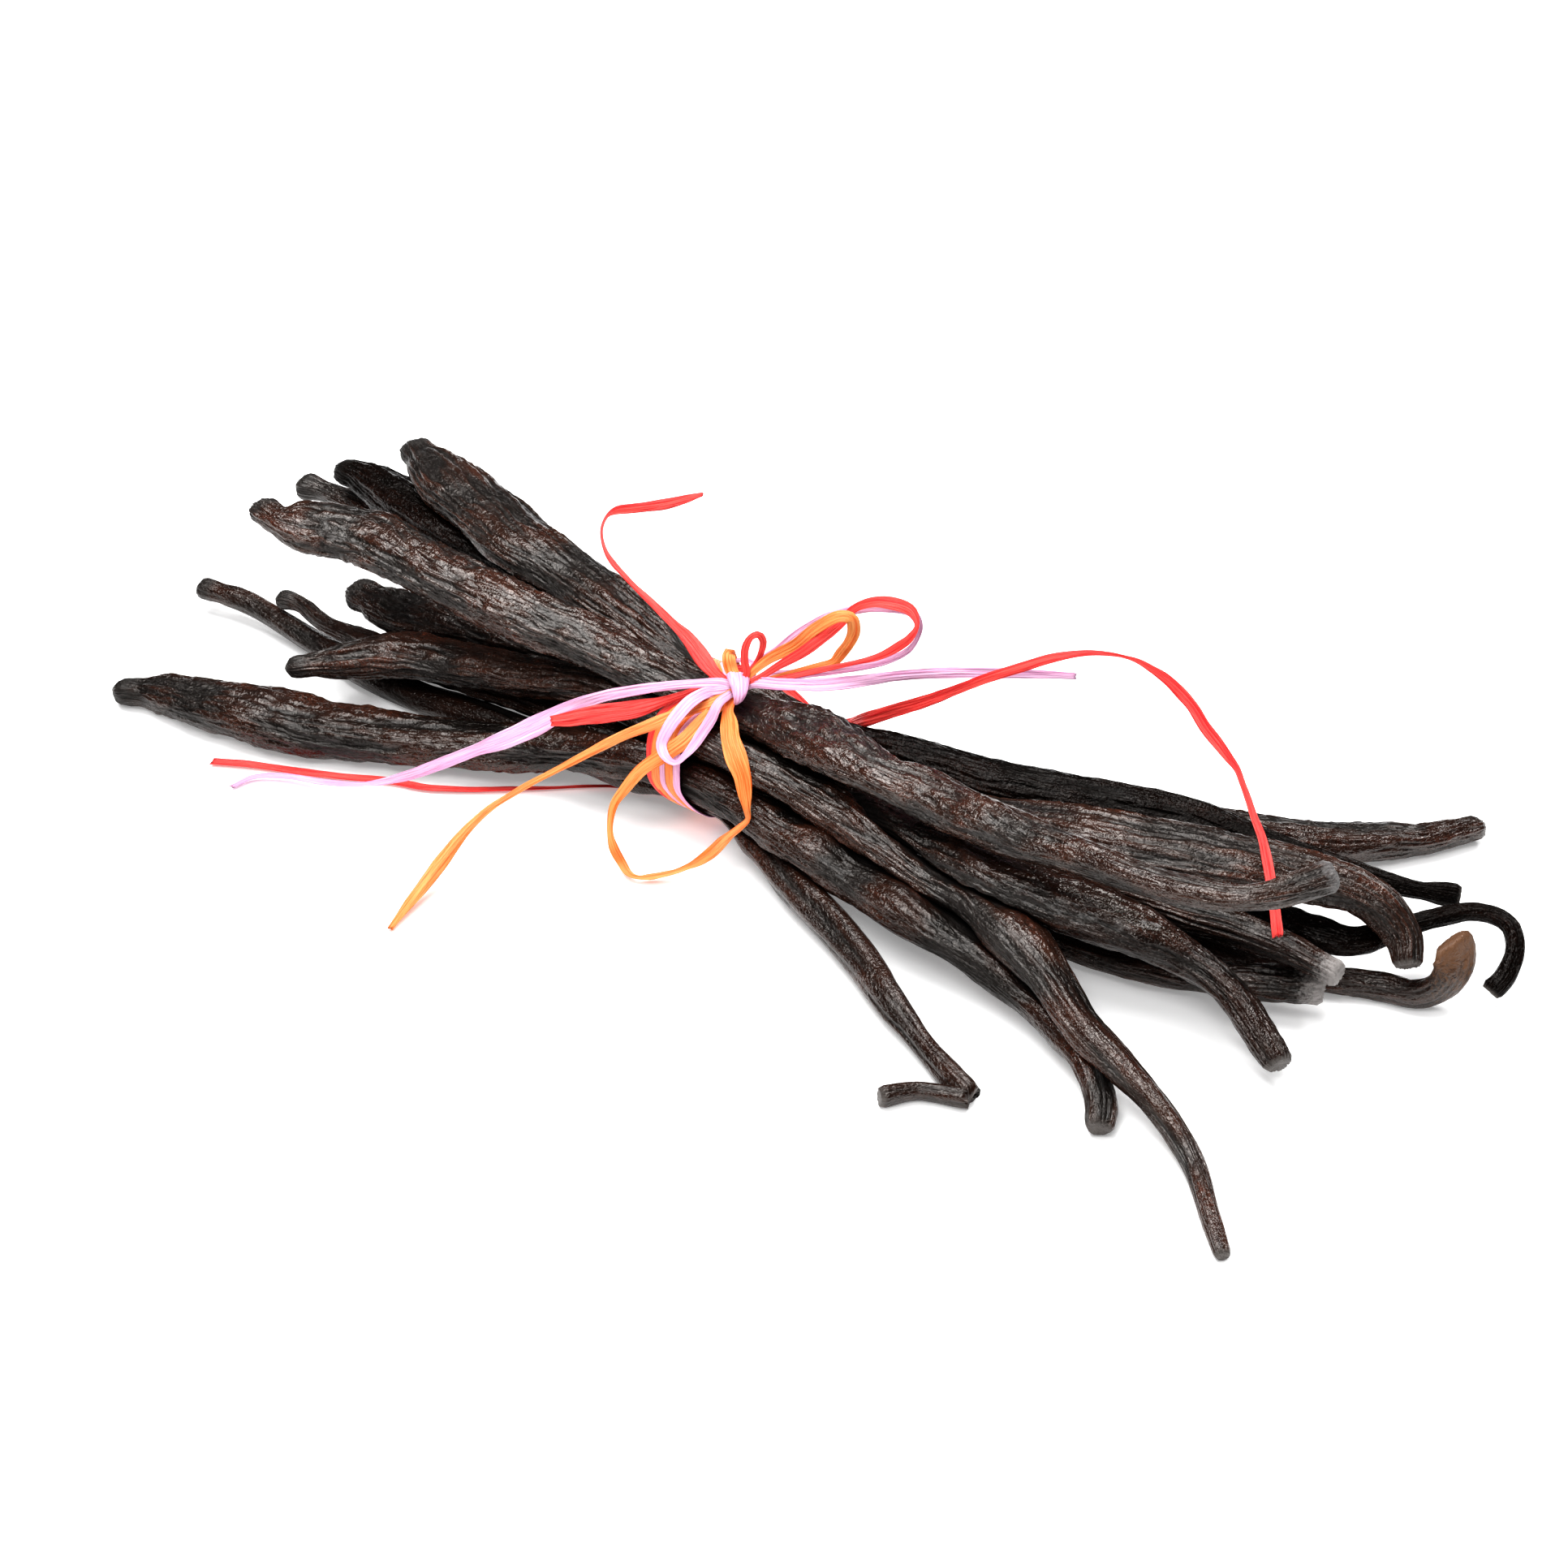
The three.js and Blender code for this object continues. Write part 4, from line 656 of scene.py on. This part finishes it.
STRIP_STEP = 0.5
STRIP_SIDES = 18  # points over each face of a strip
STRIP_THICKNESS = 0.13
STRIP_FLOOR = 0.03
STRIP_HEIGHT_UNIT = 0.12
OUTWARD = np.array([0.44, -0.62, 0.65])  # the way the flats of the free strips face
FLAT_BELOW = 3.0  # a strip under this height lies flat
FLAT_OVER = 2.0
TWIST = np.radians(26)
PLEAT, CRUMPLE, BOW = 0.15, 0.05, 0.2  # heights of a strip's relief
USUAL_WIDTH = 1.4  # a strip of this width has its full relief
RAGGED_END = 0.3  # how far the torn ends stick out
SEAM = 0.04  # share of a closed strip over which each of its ends fades into the other
BAND_STEPS = 150
COLLAR_STEPS = 72
COLLAR_START = np.radians(307)
COLLAR_BACK, COLLAR_RISE = 2.8, 1.55  # half the collar's size across the knot and upwards
COLLAR_CURL = 0.12
COLLAR_WIDTHS = [1.6, 2.3, 2.9, 2.7, 2.1, 1.3, 0.5, 0.9, 1.6]
COLLAR_SHIFTS = [0, 0, 0, 0.2, 0.35, 0.2, -0.2, -0.1, 0]  # along the knot's axis


def face_out(course, rng):
    """Turns the flat of a strip outwards, or upwards where it lies, with a slow random twist."""
    lying = np.clip((FLAT_BELOW - course.centre[:, 2:]) / FLAT_OVER, 0, 1)
    facing = OUTWARD * (1 - lying) + np.array([0, 0, 1.0]) * lying
    across = unit(np.cross(facing, course.ahead))
    up = np.cross(course.ahead, across)
    zero = np.zeros(len(course.along))
    roll = TWIST * (1 - lying[:, 0]) * ripple(rng, course.share, zero, course.length / 11, 3)
    roll = roll[:, None]
    course.across = across * np.cos(roll) + up * np.sin(roll)
    course.up = np.cross(course.ahead, course.across)


def strip_section(rng, course, curl):
    """Offsets across and up of a pleated paper strip, for each ring, as a closed loop."""
    over = np.linspace(-1, 1, STRIP_SIDES)
    along = np.repeat(course.share[:, None], STRIP_SIDES, 1)
    place = np.repeat(((over + 1) * 0.45)[None], len(along), 0)

    def field(waves, count, place=place):
        return ripple(rng, along, place, course.length / waves, count)

    pleats = billow(field(16, 9), 0.7)
    pleats += 0.7 * billow(field(9, 17), 0.7)
    crumple = field(3, 3)
    bow = field(12, 3, place * 0) * (over**2)[None]
    width = spline_values(course.widths, course.t)[:, None]
    full = np.clip(width / USUAL_WIDTH, 0.3, 1.2)
    rise = full * (PLEAT * pleats + CRUMPLE * crumple + BOW * bow) - curl * width * (over**2)[None]
    half = width / 2 * (1 + 0.07 * field(3, 3, place * 0))
    edge = STRIP_THICKNESS / 2 * np.sqrt(1 - 0.85 * over**2)
    top = np.stack([over[None] * half, rise + edge], -1)
    under = np.stack([over[None] * half, rise - edge], -1)
    return np.concatenate([top, under[:, ::-1]], 1), width


def make_strip(name, course, closed, seed, curl=0.0):
    """A ribbon of raffia along a course, with torn ends where it isn't closed."""
    rng = np.random.RandomState(seed)
    section, width = strip_section(rng, course, curl)
    rings, sides = len(section), 2 * STRIP_SIDES
    if closed:
        fade = np.clip(np.minimum(course.share, 1 - course.share) / SEAM, 0, 1)[:, None, None]
        section = section * fade + section[:1] * (1 - fade)
        rings -= 1
    section, width = section[:rings], width[:rings]
    across, up = course.across[:rings, None], course.up[:rings, None]
    points = course.centre[:rings, None] + across * section[..., :1] + up * section[..., 1:]
    if not closed:
        jag = rng.uniform(-1, 1, STRIP_SIDES) * RAGGED_END
        jag = np.concatenate([jag, jag[::-1]])
        points[-1] += course.ahead[-1] * jag[:, None]
        points[-2] += course.ahead[-1] * jag[:, None] * 0.5
    points[..., 2] = np.maximum(points[..., 2], STRIP_FLOOR)
    along = np.repeat(course.along[:rings, None, None], sides, 1)
    flow = np.concatenate([along, section], 2).reshape(-1, 3)
    flat = points.reshape(-1, 3)
    uncurled = section[..., 1] + curl * width * (section[..., 0] / width * 2) ** 2
    height = uncurled.ravel() / STRIP_HEIGHT_UNIT
    if not closed:
        flat = np.vstack([flat, points[0].mean(0), points[-1].mean(0)])
        flow = np.vstack([flow, flow[0] * [1, 0, 0], flow[-1] * [1, 0, 0]])
        height = np.append(height, [0, 0])
    return make_object(name, flat, tube_faces(rings, sides, closed), {"flow": flow, "height": height})


class ClosedCourse:
    """A course that ends where it starts, for a strip whose flat faces the given way out."""

    def __init__(self, turn, centre, ahead, outward, widths):
        self.widths = widths
        self.share = self.t = turn
        self.centre = centre
        self.ahead = ahead
        self.across = unit(np.cross(outward, ahead))
        self.up = np.cross(ahead, self.across)
        self.along = lengths_along(centre)
        self.length = self.along[-1]


def band_course(along, width):
    """The oval way of a band round the waist."""
    turn = np.linspace(0, 1, BAND_STEPS + 1)
    angle = 2 * np.pi * turn
    y = np.cos(angle) * (WAIST_WIDTH / 2 + BAND_CLEAR)
    z = WAIST_Z + np.sin(angle) * (WAIST_HEIGHT / 2 + BAND_CLEAR)
    centre = np.stack([band_drift(angle) + along, y, z], 1)
    outward = np.stack([0 * y, np.cos(angle) * WAIST_HEIGHT, np.sin(angle) * WAIST_WIDTH], 1)
    return ClosedCourse(turn, centre, unit(np.gradient(centre, axis=0)), outward, [width] * 4)


def collar_course():
    """The way round the knot's axis, from under its back over the top to its front."""
    turn = np.linspace(0, 1, COLLAR_STEPS + 1)
    angle = COLLAR_START + 2 * np.pi * turn
    back, rise = np.cos(angle)[:, None] * KNOT_BACK, np.sin(angle)[:, None] * [0, 0, 1]
    shift = spline_values(COLLAR_SHIFTS, turn)[:, None] * KNOT_AXIS
    centre = KNOT_AT + (back * COLLAR_BACK + rise * COLLAR_RISE) + shift
    ahead = np.roll(centre[:-1], -1, 0) - np.roll(centre[:-1], 1, 0)
    ahead = unit(np.vstack([ahead, ahead[:1]]))
    outward = back * COLLAR_RISE + rise * COLLAR_BACK
    return ClosedCourse(turn, centre, ahead, outward, COLLAR_WIDTHS)


# ---- Materials ----

MIX_FACTOR, MIX_A, MIX_B, MIX_RESULT = 0, 6, 7, 2  # sockets of a colour mix


class Nodes:
    """A material's nodes, made and joined one at a time."""

    def __init__(self, name):
        self.material = bpy.data.materials.new(name)
        self.material.use_nodes = True
        self.tree = self.material.node_tree
        self.shader = self.tree.nodes["Principled BSDF"]

    def join(self, socket, value):
        """Feeds a socket from another node's output, or sets it to a plain value."""
        if isinstance(value, bpy.types.NodeSocket):
            self.tree.links.new(value, socket)
        else:
            socket.default_value = value

    def add(self, kind, output, inputs, **settings):
        """Makes a node with its settings, feeds its inputs and gives one of its outputs."""
        node = self.tree.nodes.new(kind)
        for key, value in settings.items():
            setattr(node, key, value)
        for key, value in inputs.items():
            self.join(node.inputs[key], value)
        return node.outputs[output]

    def read(self, label, output="Fac"):
        return self.add("ShaderNodeAttribute", output, {}, attribute_name=label)

    def vectors(self, operation, a, b):
        return self.add("ShaderNodeVectorMath", "Vector", {0: a, 1: b}, operation=operation)

    def drawn(self, vector, along, across=1.0):
        """Scales the way along a course and the ways across it; a small scale gives long marks."""
        return self.vectors("MULTIPLY", vector, (along, across, across))

    def noise(self, vector, scale, detail, rough=0.55):
        inputs = {"Vector": vector, "Scale": scale, "Detail": detail, "Roughness": rough}
        return self.add("ShaderNodeTexNoise", "Fac", inputs)

    def wobbled(self, vector, scale, reach):
        """The vector with a random shift of up to half the reach in every direction."""
        noise = self.add("ShaderNodeTexNoise", "Color", {"Vector": vector, "Scale": scale})
        centred = self.vectors("SUBTRACT", noise, (0.5, 0.5, 0.5))
        return self.vectors("ADD", vector, self.drawn(centred, reach, reach))

    def remap(self, value, low, high, to_low=0.0, to_high=1.0):
        inputs = {"Value": value, "From Min": low, "From Max": high, "To Min": to_low, "To Max": to_high}
        return self.add("ShaderNodeMapRange", "Result", inputs)

    def mix(self, factor, a, b):
        inputs = {MIX_FACTOR: factor, MIX_A: a, MIX_B: b}
        return self.add("ShaderNodeMix", MIX_RESULT, inputs, data_type="RGBA")

    def times(self, a, b):
        return self.add("ShaderNodeMath", "Value", {0: a, 1: b}, operation="MULTIPLY")

    def plus(self, a, b):
        return self.add("ShaderNodeMath", "Value", {0: a, 1: b}, operation="ADD")

    def bump(self, height, strength, distance):
        inputs = {"Height": height, "Strength": strength, "Distance": distance}
        return self.add("ShaderNodeBump", "Normal", inputs)

    def finish(self, **sockets):
        for key, value in sockets.items():
            self.join(self.shader.inputs[key.replace("_", " ")], value)
        return self.material


def colour(red, green, blue):
    return (red, green, blue, 1.0)


SKIN_TINT = colour(1.0, 0.93, 0.88)
# Painted shade: the near-black laid into the skin's creases.
CREASE_SHADE = colour(0.002, 0.0014, 0.001)
# Painted shade: the near-black laid where a neighbour presses against the skin.
CONTACT_SHADE = colour(0.003, 0.002, 0.0015)
TIP_GREY = colour(0.007, 0.006, 0.0055)
TIP_FADE = (3.4, 2.2)  # millimetres from a blossom end between which its tip turns grey
END_SPREAD = 0.4  # how ragged the edge of a stem end's colour is, as a share of its reach
SKIN_BUMP = 0.00017
FIBRE_BUMP = 0.00035


def skin_relief(n, flow):
    """Fine wrinkles between small cells, for the bump of a pod's skin."""
    bent = n.wobbled(flow, 1.4, 0.9)
    inputs = {"Vector": n.drawn(bent, 0.4), "Scale": 2.1}
    cells = n.add("ShaderNodeTexVoronoi", "Distance", inputs, feature="DISTANCE_TO_EDGE")
    wrinkles = n.noise(n.drawn(bent, 0.35), 2.2, 1.5, 0.5)
    return n.plus(n.times(n.remap(cells, 0.0, 0.22), 0.25), wrinkles)


def pod_material(name, tones, shine, end_colour, end_reach):
    """Oily, wrinkled pod skin: painted shade blackens its creases and where neighbours press it; red-brown
    on its ridges, dull at its ends.
    """
    n = Nodes(name)
    dark, brown, red = tones
    flow, height = n.read("flow", "Vector"), n.read("height")
    streaks = n.noise(n.drawn(flow, 0.14), 1.6, 6.0, 0.6)
    patches = n.noise(n.drawn(flow, 0.35), 0.33, 3.0)
    specks = n.noise(flow, 2.6, 5.0, 0.65)
    base = n.mix(n.remap(streaks, 0.35, 0.7), dark, brown)
    warm = n.times(n.remap(patches, 0.42, 0.7), n.remap(specks, 0.4, 0.7))
    base = n.mix(n.times(warm, n.remap(height, -0.6, 1.2)), base, red)
    rough = n.remap(n.noise(n.drawn(flow, 0.3), 0.9, 4.0), 0.3, 0.7, 0.11, 0.26)
    # Painted shade: the lower the relief lies, the closer the colour goes to near-black.
    crease_shade = n.remap(height, -0.8, 0.25, 1.0, 0.0)
    # Painted shade: the skin goes near-black where a neighbour holds it back.
    pressed = n.remap(n.read("pressed"), 0.03, 0.18)
    ragged = n.times(n.remap(specks, 0.3, 0.7, -END_SPREAD, END_SPREAD), end_reach)
    end = n.remap(n.plus(n.read("to_end"), ragged), end_reach, 0.25 * end_reach)
    tip = n.remap(n.read("from_tip"), *TIP_FADE)
    # Each place covers the base colour and roughens the skin: painted shade in the creases and where a
    # neighbour presses, the stem end's colour, the grey blossom tip.
    for place, over, cover, roughness in (
        (crease_shade, CREASE_SHADE, 0.92, 0.2),
        (pressed, CONTACT_SHADE, 0.9, 0.4),
        (end, end_colour, 0.85, 0.3),
        (tip, TIP_GREY, 0.8, 0.2),
    ):
        base = n.mix(n.times(place, cover), base, over)
        rough = n.plus(rough, n.times(place, roughness))
    return n.finish(
        Base_Color=base, Roughness=rough, Normal=n.bump(skin_relief(n, flow), 1.0, SKIN_BUMP),
        Specular_IOR_Level=shine, Specular_Tint=SKIN_TINT, Coat_Weight=0.3 * shine, Coat_Roughness=0.1,
    )


def raffia_material(name, light, deep, shade):
    """Pleated paper raffia with fine lengthwise fibres, and painted shade in the hollows of its pleats."""
    n = Nodes(name)
    flow = n.read("flow", "Vector")
    fibres = n.noise(n.drawn(flow, 0.045, 3.0), 1.5, 4.0, 0.6)
    blotches = n.noise(n.drawn(flow, 0.2), 0.7, 3.0)
    base = n.mix(n.remap(fibres, 0.4, 0.6), deep, light)
    base = n.mix(n.remap(blotches, 0.45, 0.75, 0.0, 0.5), base, light)
    # Painted shade: the lower a point lies in the pleats, the closer its colour goes to the shade colour.
    base = n.mix(n.remap(n.read("height"), 0.0, -1.0, 0.0, 0.55), base, shade)
    return n.finish(
        Base_Color=base, Roughness=0.42, Normal=n.bump(fibres, 0.8, FIBRE_BUMP), Specular_IOR_Level=0.45,
    )


GREY_CUT = colour(0.08, 0.07, 0.064)
GREY_FILM = colour(0.15, 0.145, 0.145)
PALE_CUT = colour(0.3, 0.28, 0.27)
PAPERY = colour(0.15, 0.07, 0.033)
# Dark and light of the streaks, red of the warm patches.
BROWN = (colour(0.015, 0.0065, 0.0045), colour(0.048, 0.0205, 0.0128), colour(0.13, 0.034, 0.016))
DARK = (colour(0.009, 0.0041, 0.0029), colour(0.033, 0.0138, 0.0088), colour(0.09, 0.025, 0.012))
# Painted shade: a darker copy of the tones, for the pods whose faces lie in shade.
SHADED_BLACK = (colour(0.0015, 0.001, 0.0008), colour(0.005, 0.0025, 0.0018), colour(0.025, 0.008, 0.0045))
# Tones, shine, colour of the stem end and how many millimetres it reaches.
SKIN_KINDS = {
    "brown": (BROWN, 0.6, GREY_CUT, 0.6),
    "dark": (DARK, 0.58, GREY_CUT, 0.6),
    "glossy": (BROWN, 0.7, GREY_FILM, 2.0),
    "dull": (DARK, 0.46, GREY_CUT, 0.6),
    # Painted shade: the black kind is the skin darkened and dulled for pods lying in shade.
    "black": (SHADED_BLACK, 0.12, GREY_CUT, 0.4),
    "pale_end": (DARK, 0.45, PALE_CUT, 3.0),
    "papery_end": (DARK, 0.45, PAPERY, 7.0),
}
# Light and deep colour of the fibres, shade in the pleats.
RAFFIA_TONES = {
    "red": (colour(1.0, 0.095, 0.08), colour(0.74, 0.015, 0.018), colour(0.38, 0.006, 0.008)),
    "orange": (colour(1.0, 0.37, 0.11), colour(0.88, 0.145, 0.018), colour(0.54, 0.065, 0.006)),
    "pink": (colour(0.91, 0.55, 0.77), colour(0.73, 0.3, 0.53), colour(0.48, 0.17, 0.34)),
}
MATERIALS = {kind: pod_material("pod_skin_" + kind, *look) for kind, look in SKIN_KINDS.items()}
for paint, look in RAFFIA_TONES.items():
    MATERIALS[paint] = raffia_material("raffia_" + paint, *look)

# ---- The bundle ----

STRAND_SEED, TWIST_SEED, BAND_SEED, POD_SEED = 100, 150, 200, 300
COLLAR_SEED, KNOT_SEED, KNOT_TWIST_SEED = 400, 401, 450
FROM_UNDER_THE_TIE = ("tail_red_arch", "tail_red_floor")  # the others come out of the knot
KNOT_DEPTH = 0.3  # the share of the way to the knot's middle that is left where a strand ends
KNOT_PINCH = 0.8  # the share of its width that it has there


def dress(piece, node, kind):
    """Gives a piece its kind of material and the place of a node of the CAD."""
    piece.data.materials.append(MATERIALS[kind])
    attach(piece, "root")
    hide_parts(node)


def into_knot(row):
    """A station inside the knot, for a strand whose tied end is the given station."""
    place = KNOT_AT + KNOT_DEPTH * (np.array(row[:3]) - KNOT_AT)
    return [*place, KNOT_PINCH * row[3]]


def make_strands():
    for number, (name, route) in enumerate(STRANDS.items()):
        looped = name.startswith("loop")
        if name not in FROM_UNDER_THE_TIE:
            route = [into_knot(route[0])] + route
        if looped:
            route = route + [into_knot(route[-1])]
        course = Course(route, STRIP_STEP)
        face_out(course, np.random.RandomState(TWIST_SEED + number))
        piece = make_strip(name + "_raffia", course, False, STRAND_SEED + number)
        dress(piece, name, name.split("_")[1])


def make_bands():
    for number, (name, band) in enumerate(BANDS.items()):
        piece = make_strip(name + "_raffia", band_course(*band), True, BAND_SEED + number)
        dress(piece, name, name.split("_")[1])


def make_pods():
    courses = {name: pod_course(pod, SAMPLE_STEP) for name, pod in PODS.items()}
    for number, (name, pod) in enumerate(PODS.items()):
        others = [course for other, course in courses.items() if other != name]
        style = {**SKIN, **STYLES[name]}
        piece = make_pod(name + "_skin", pod, style, others, POD_SEED + number)
        dress(piece, name, style["kind"])


# Paints and routes of the short strips on the knot.
KNOT_STRIPS = {
    "knot_turn": ("orange", [
        [2.6, 0.1, 19.9, 1.5], [1.6, 0.6, 20.6, 1.7], [1, 1, 21.6, 1.7], [0.6, 1.6, 21.9, 1.6],
        [0.4, 2.2, 21, 1.6], [0.6, 2.6, 19.6, 1.5],
    ]),
    "knot_back_red": ("red", [[0.4, 1.9, 19.3, 0.9], [2, 2.9, 19.5, 0.9], [3.8, 3.2, 19.4, 0.9]]),
    "knot_back_pink": ("pink", [[0.2, 2.4, 20.2, 0.6], [2, 3.4, 20.5, 0.6], [3.6, 3.4, 20.4, 0.6]]),
}


def make_knot():
    """The pink collar wound round the strands, and the short strips over and behind it."""
    collar = make_strip("knot_collar", collar_course(), True, COLLAR_SEED, COLLAR_CURL)
    dress(collar, "knot", "pink")
    for number, (name, (paint, route)) in enumerate(KNOT_STRIPS.items()):
        course = Course(route, STRIP_STEP / 2)
        face_out(course, np.random.RandomState(KNOT_TWIST_SEED + number))
        strip = make_strip(name, course, False, KNOT_SEED + number)
        dress(strip, "knot", paint)


# ---- Stage ----

WHITE = colour(1, 1, 1)
TABLE_WHITE = colour(0.95, 0.95, 0.95)
TABLE_REACH = 0.9  # metres from the middle to each side
TABLE_GLOW = 0.22
ROOM_STRENGTH = 0.07
# Name, place and size in metres, watts, and whether it shows in the highlights.
LIGHTS = [
    ("key_softbox", (-0.28, 0.04, 0.92), (0.72, 0.5), 9.0, True),
    ("front_softbox", (0.12, -0.5, 0.82), (0.4, 0.3), 2.6, True),
    ("back_softbox", (0.2, 0.6, 0.8), (0.3, 0.16), 2.6, True),
    ("ceiling", (0.0, 0.1, 1.3), (1.8, 1.8), 12.0, False),
    ("front_fill", (0.1, -1.15, 0.7), (1.8, 1.4), 4.5, False),
]


def make_stage():
    """The white table."""
    sides = ((-1, -1), (1, -1), (1, 1), (-1, 1))
    corners = [(x * TABLE_REACH, y * TABLE_REACH, 0) for x, y in sides]
    mesh = bpy.data.meshes.new("table")
    mesh.from_pydata(corners, [], [(0, 1, 2, 3)])
    mesh.materials.append(Nodes("table_white").finish(
        Base_Color=TABLE_WHITE, Roughness=0.8, Specular_IOR_Level=0.1,
        Emission_Color=WHITE, Emission_Strength=TABLE_GLOW,
    ))
    add_object("table", mesh)


def add_light(name, place, size, power, mirrored):
    """A soft light aimed at the bundle; one that isn't mirrored gives no highlights."""
    data = bpy.data.lights.new(name, "AREA")
    data.shape = "RECTANGLE"
    data.size, data.size_y = size
    data.energy = power
    light = add_object(name, data)
    light.visible_glossy = mirrored
    light.location = place
    light.rotation_euler = (-Vector(place)).to_track_quat("-Z", "Y").to_euler()


def make_light():
    """A room that is white to the camera and dim to the bundle, and the lights."""
    world = bpy.data.worlds.new("studio")
    world.use_nodes = True
    nodes, links = world.node_tree.nodes, world.node_tree.links
    seen = nodes.new("ShaderNodeLightPath")
    backdrop = nodes.new("ShaderNodeBackground")
    backdrop.inputs["Color"].default_value = WHITE
    room = nodes["Background"]
    room.inputs["Color"].default_value = WHITE
    room.inputs["Strength"].default_value = ROOM_STRENGTH
    mix = nodes.new("ShaderNodeMixShader")
    links.new(seen.outputs["Is Camera Ray"], mix.inputs[0])
    links.new(room.outputs[0], mix.inputs[1])
    links.new(backdrop.outputs[0], mix.inputs[2])
    links.new(mix.outputs[0], nodes["World Output"].inputs["Surface"])
    bpy.context.scene.world = world
    for light in LIGHTS:
        add_light(*light)


make_strands()
make_bands()
make_knot()
make_pods()
make_stage()
make_light()
bpy.context.scene.view_settings.view_transform = "Standard"
bpy.context.scene.view_settings.look = "Medium High Contrast"
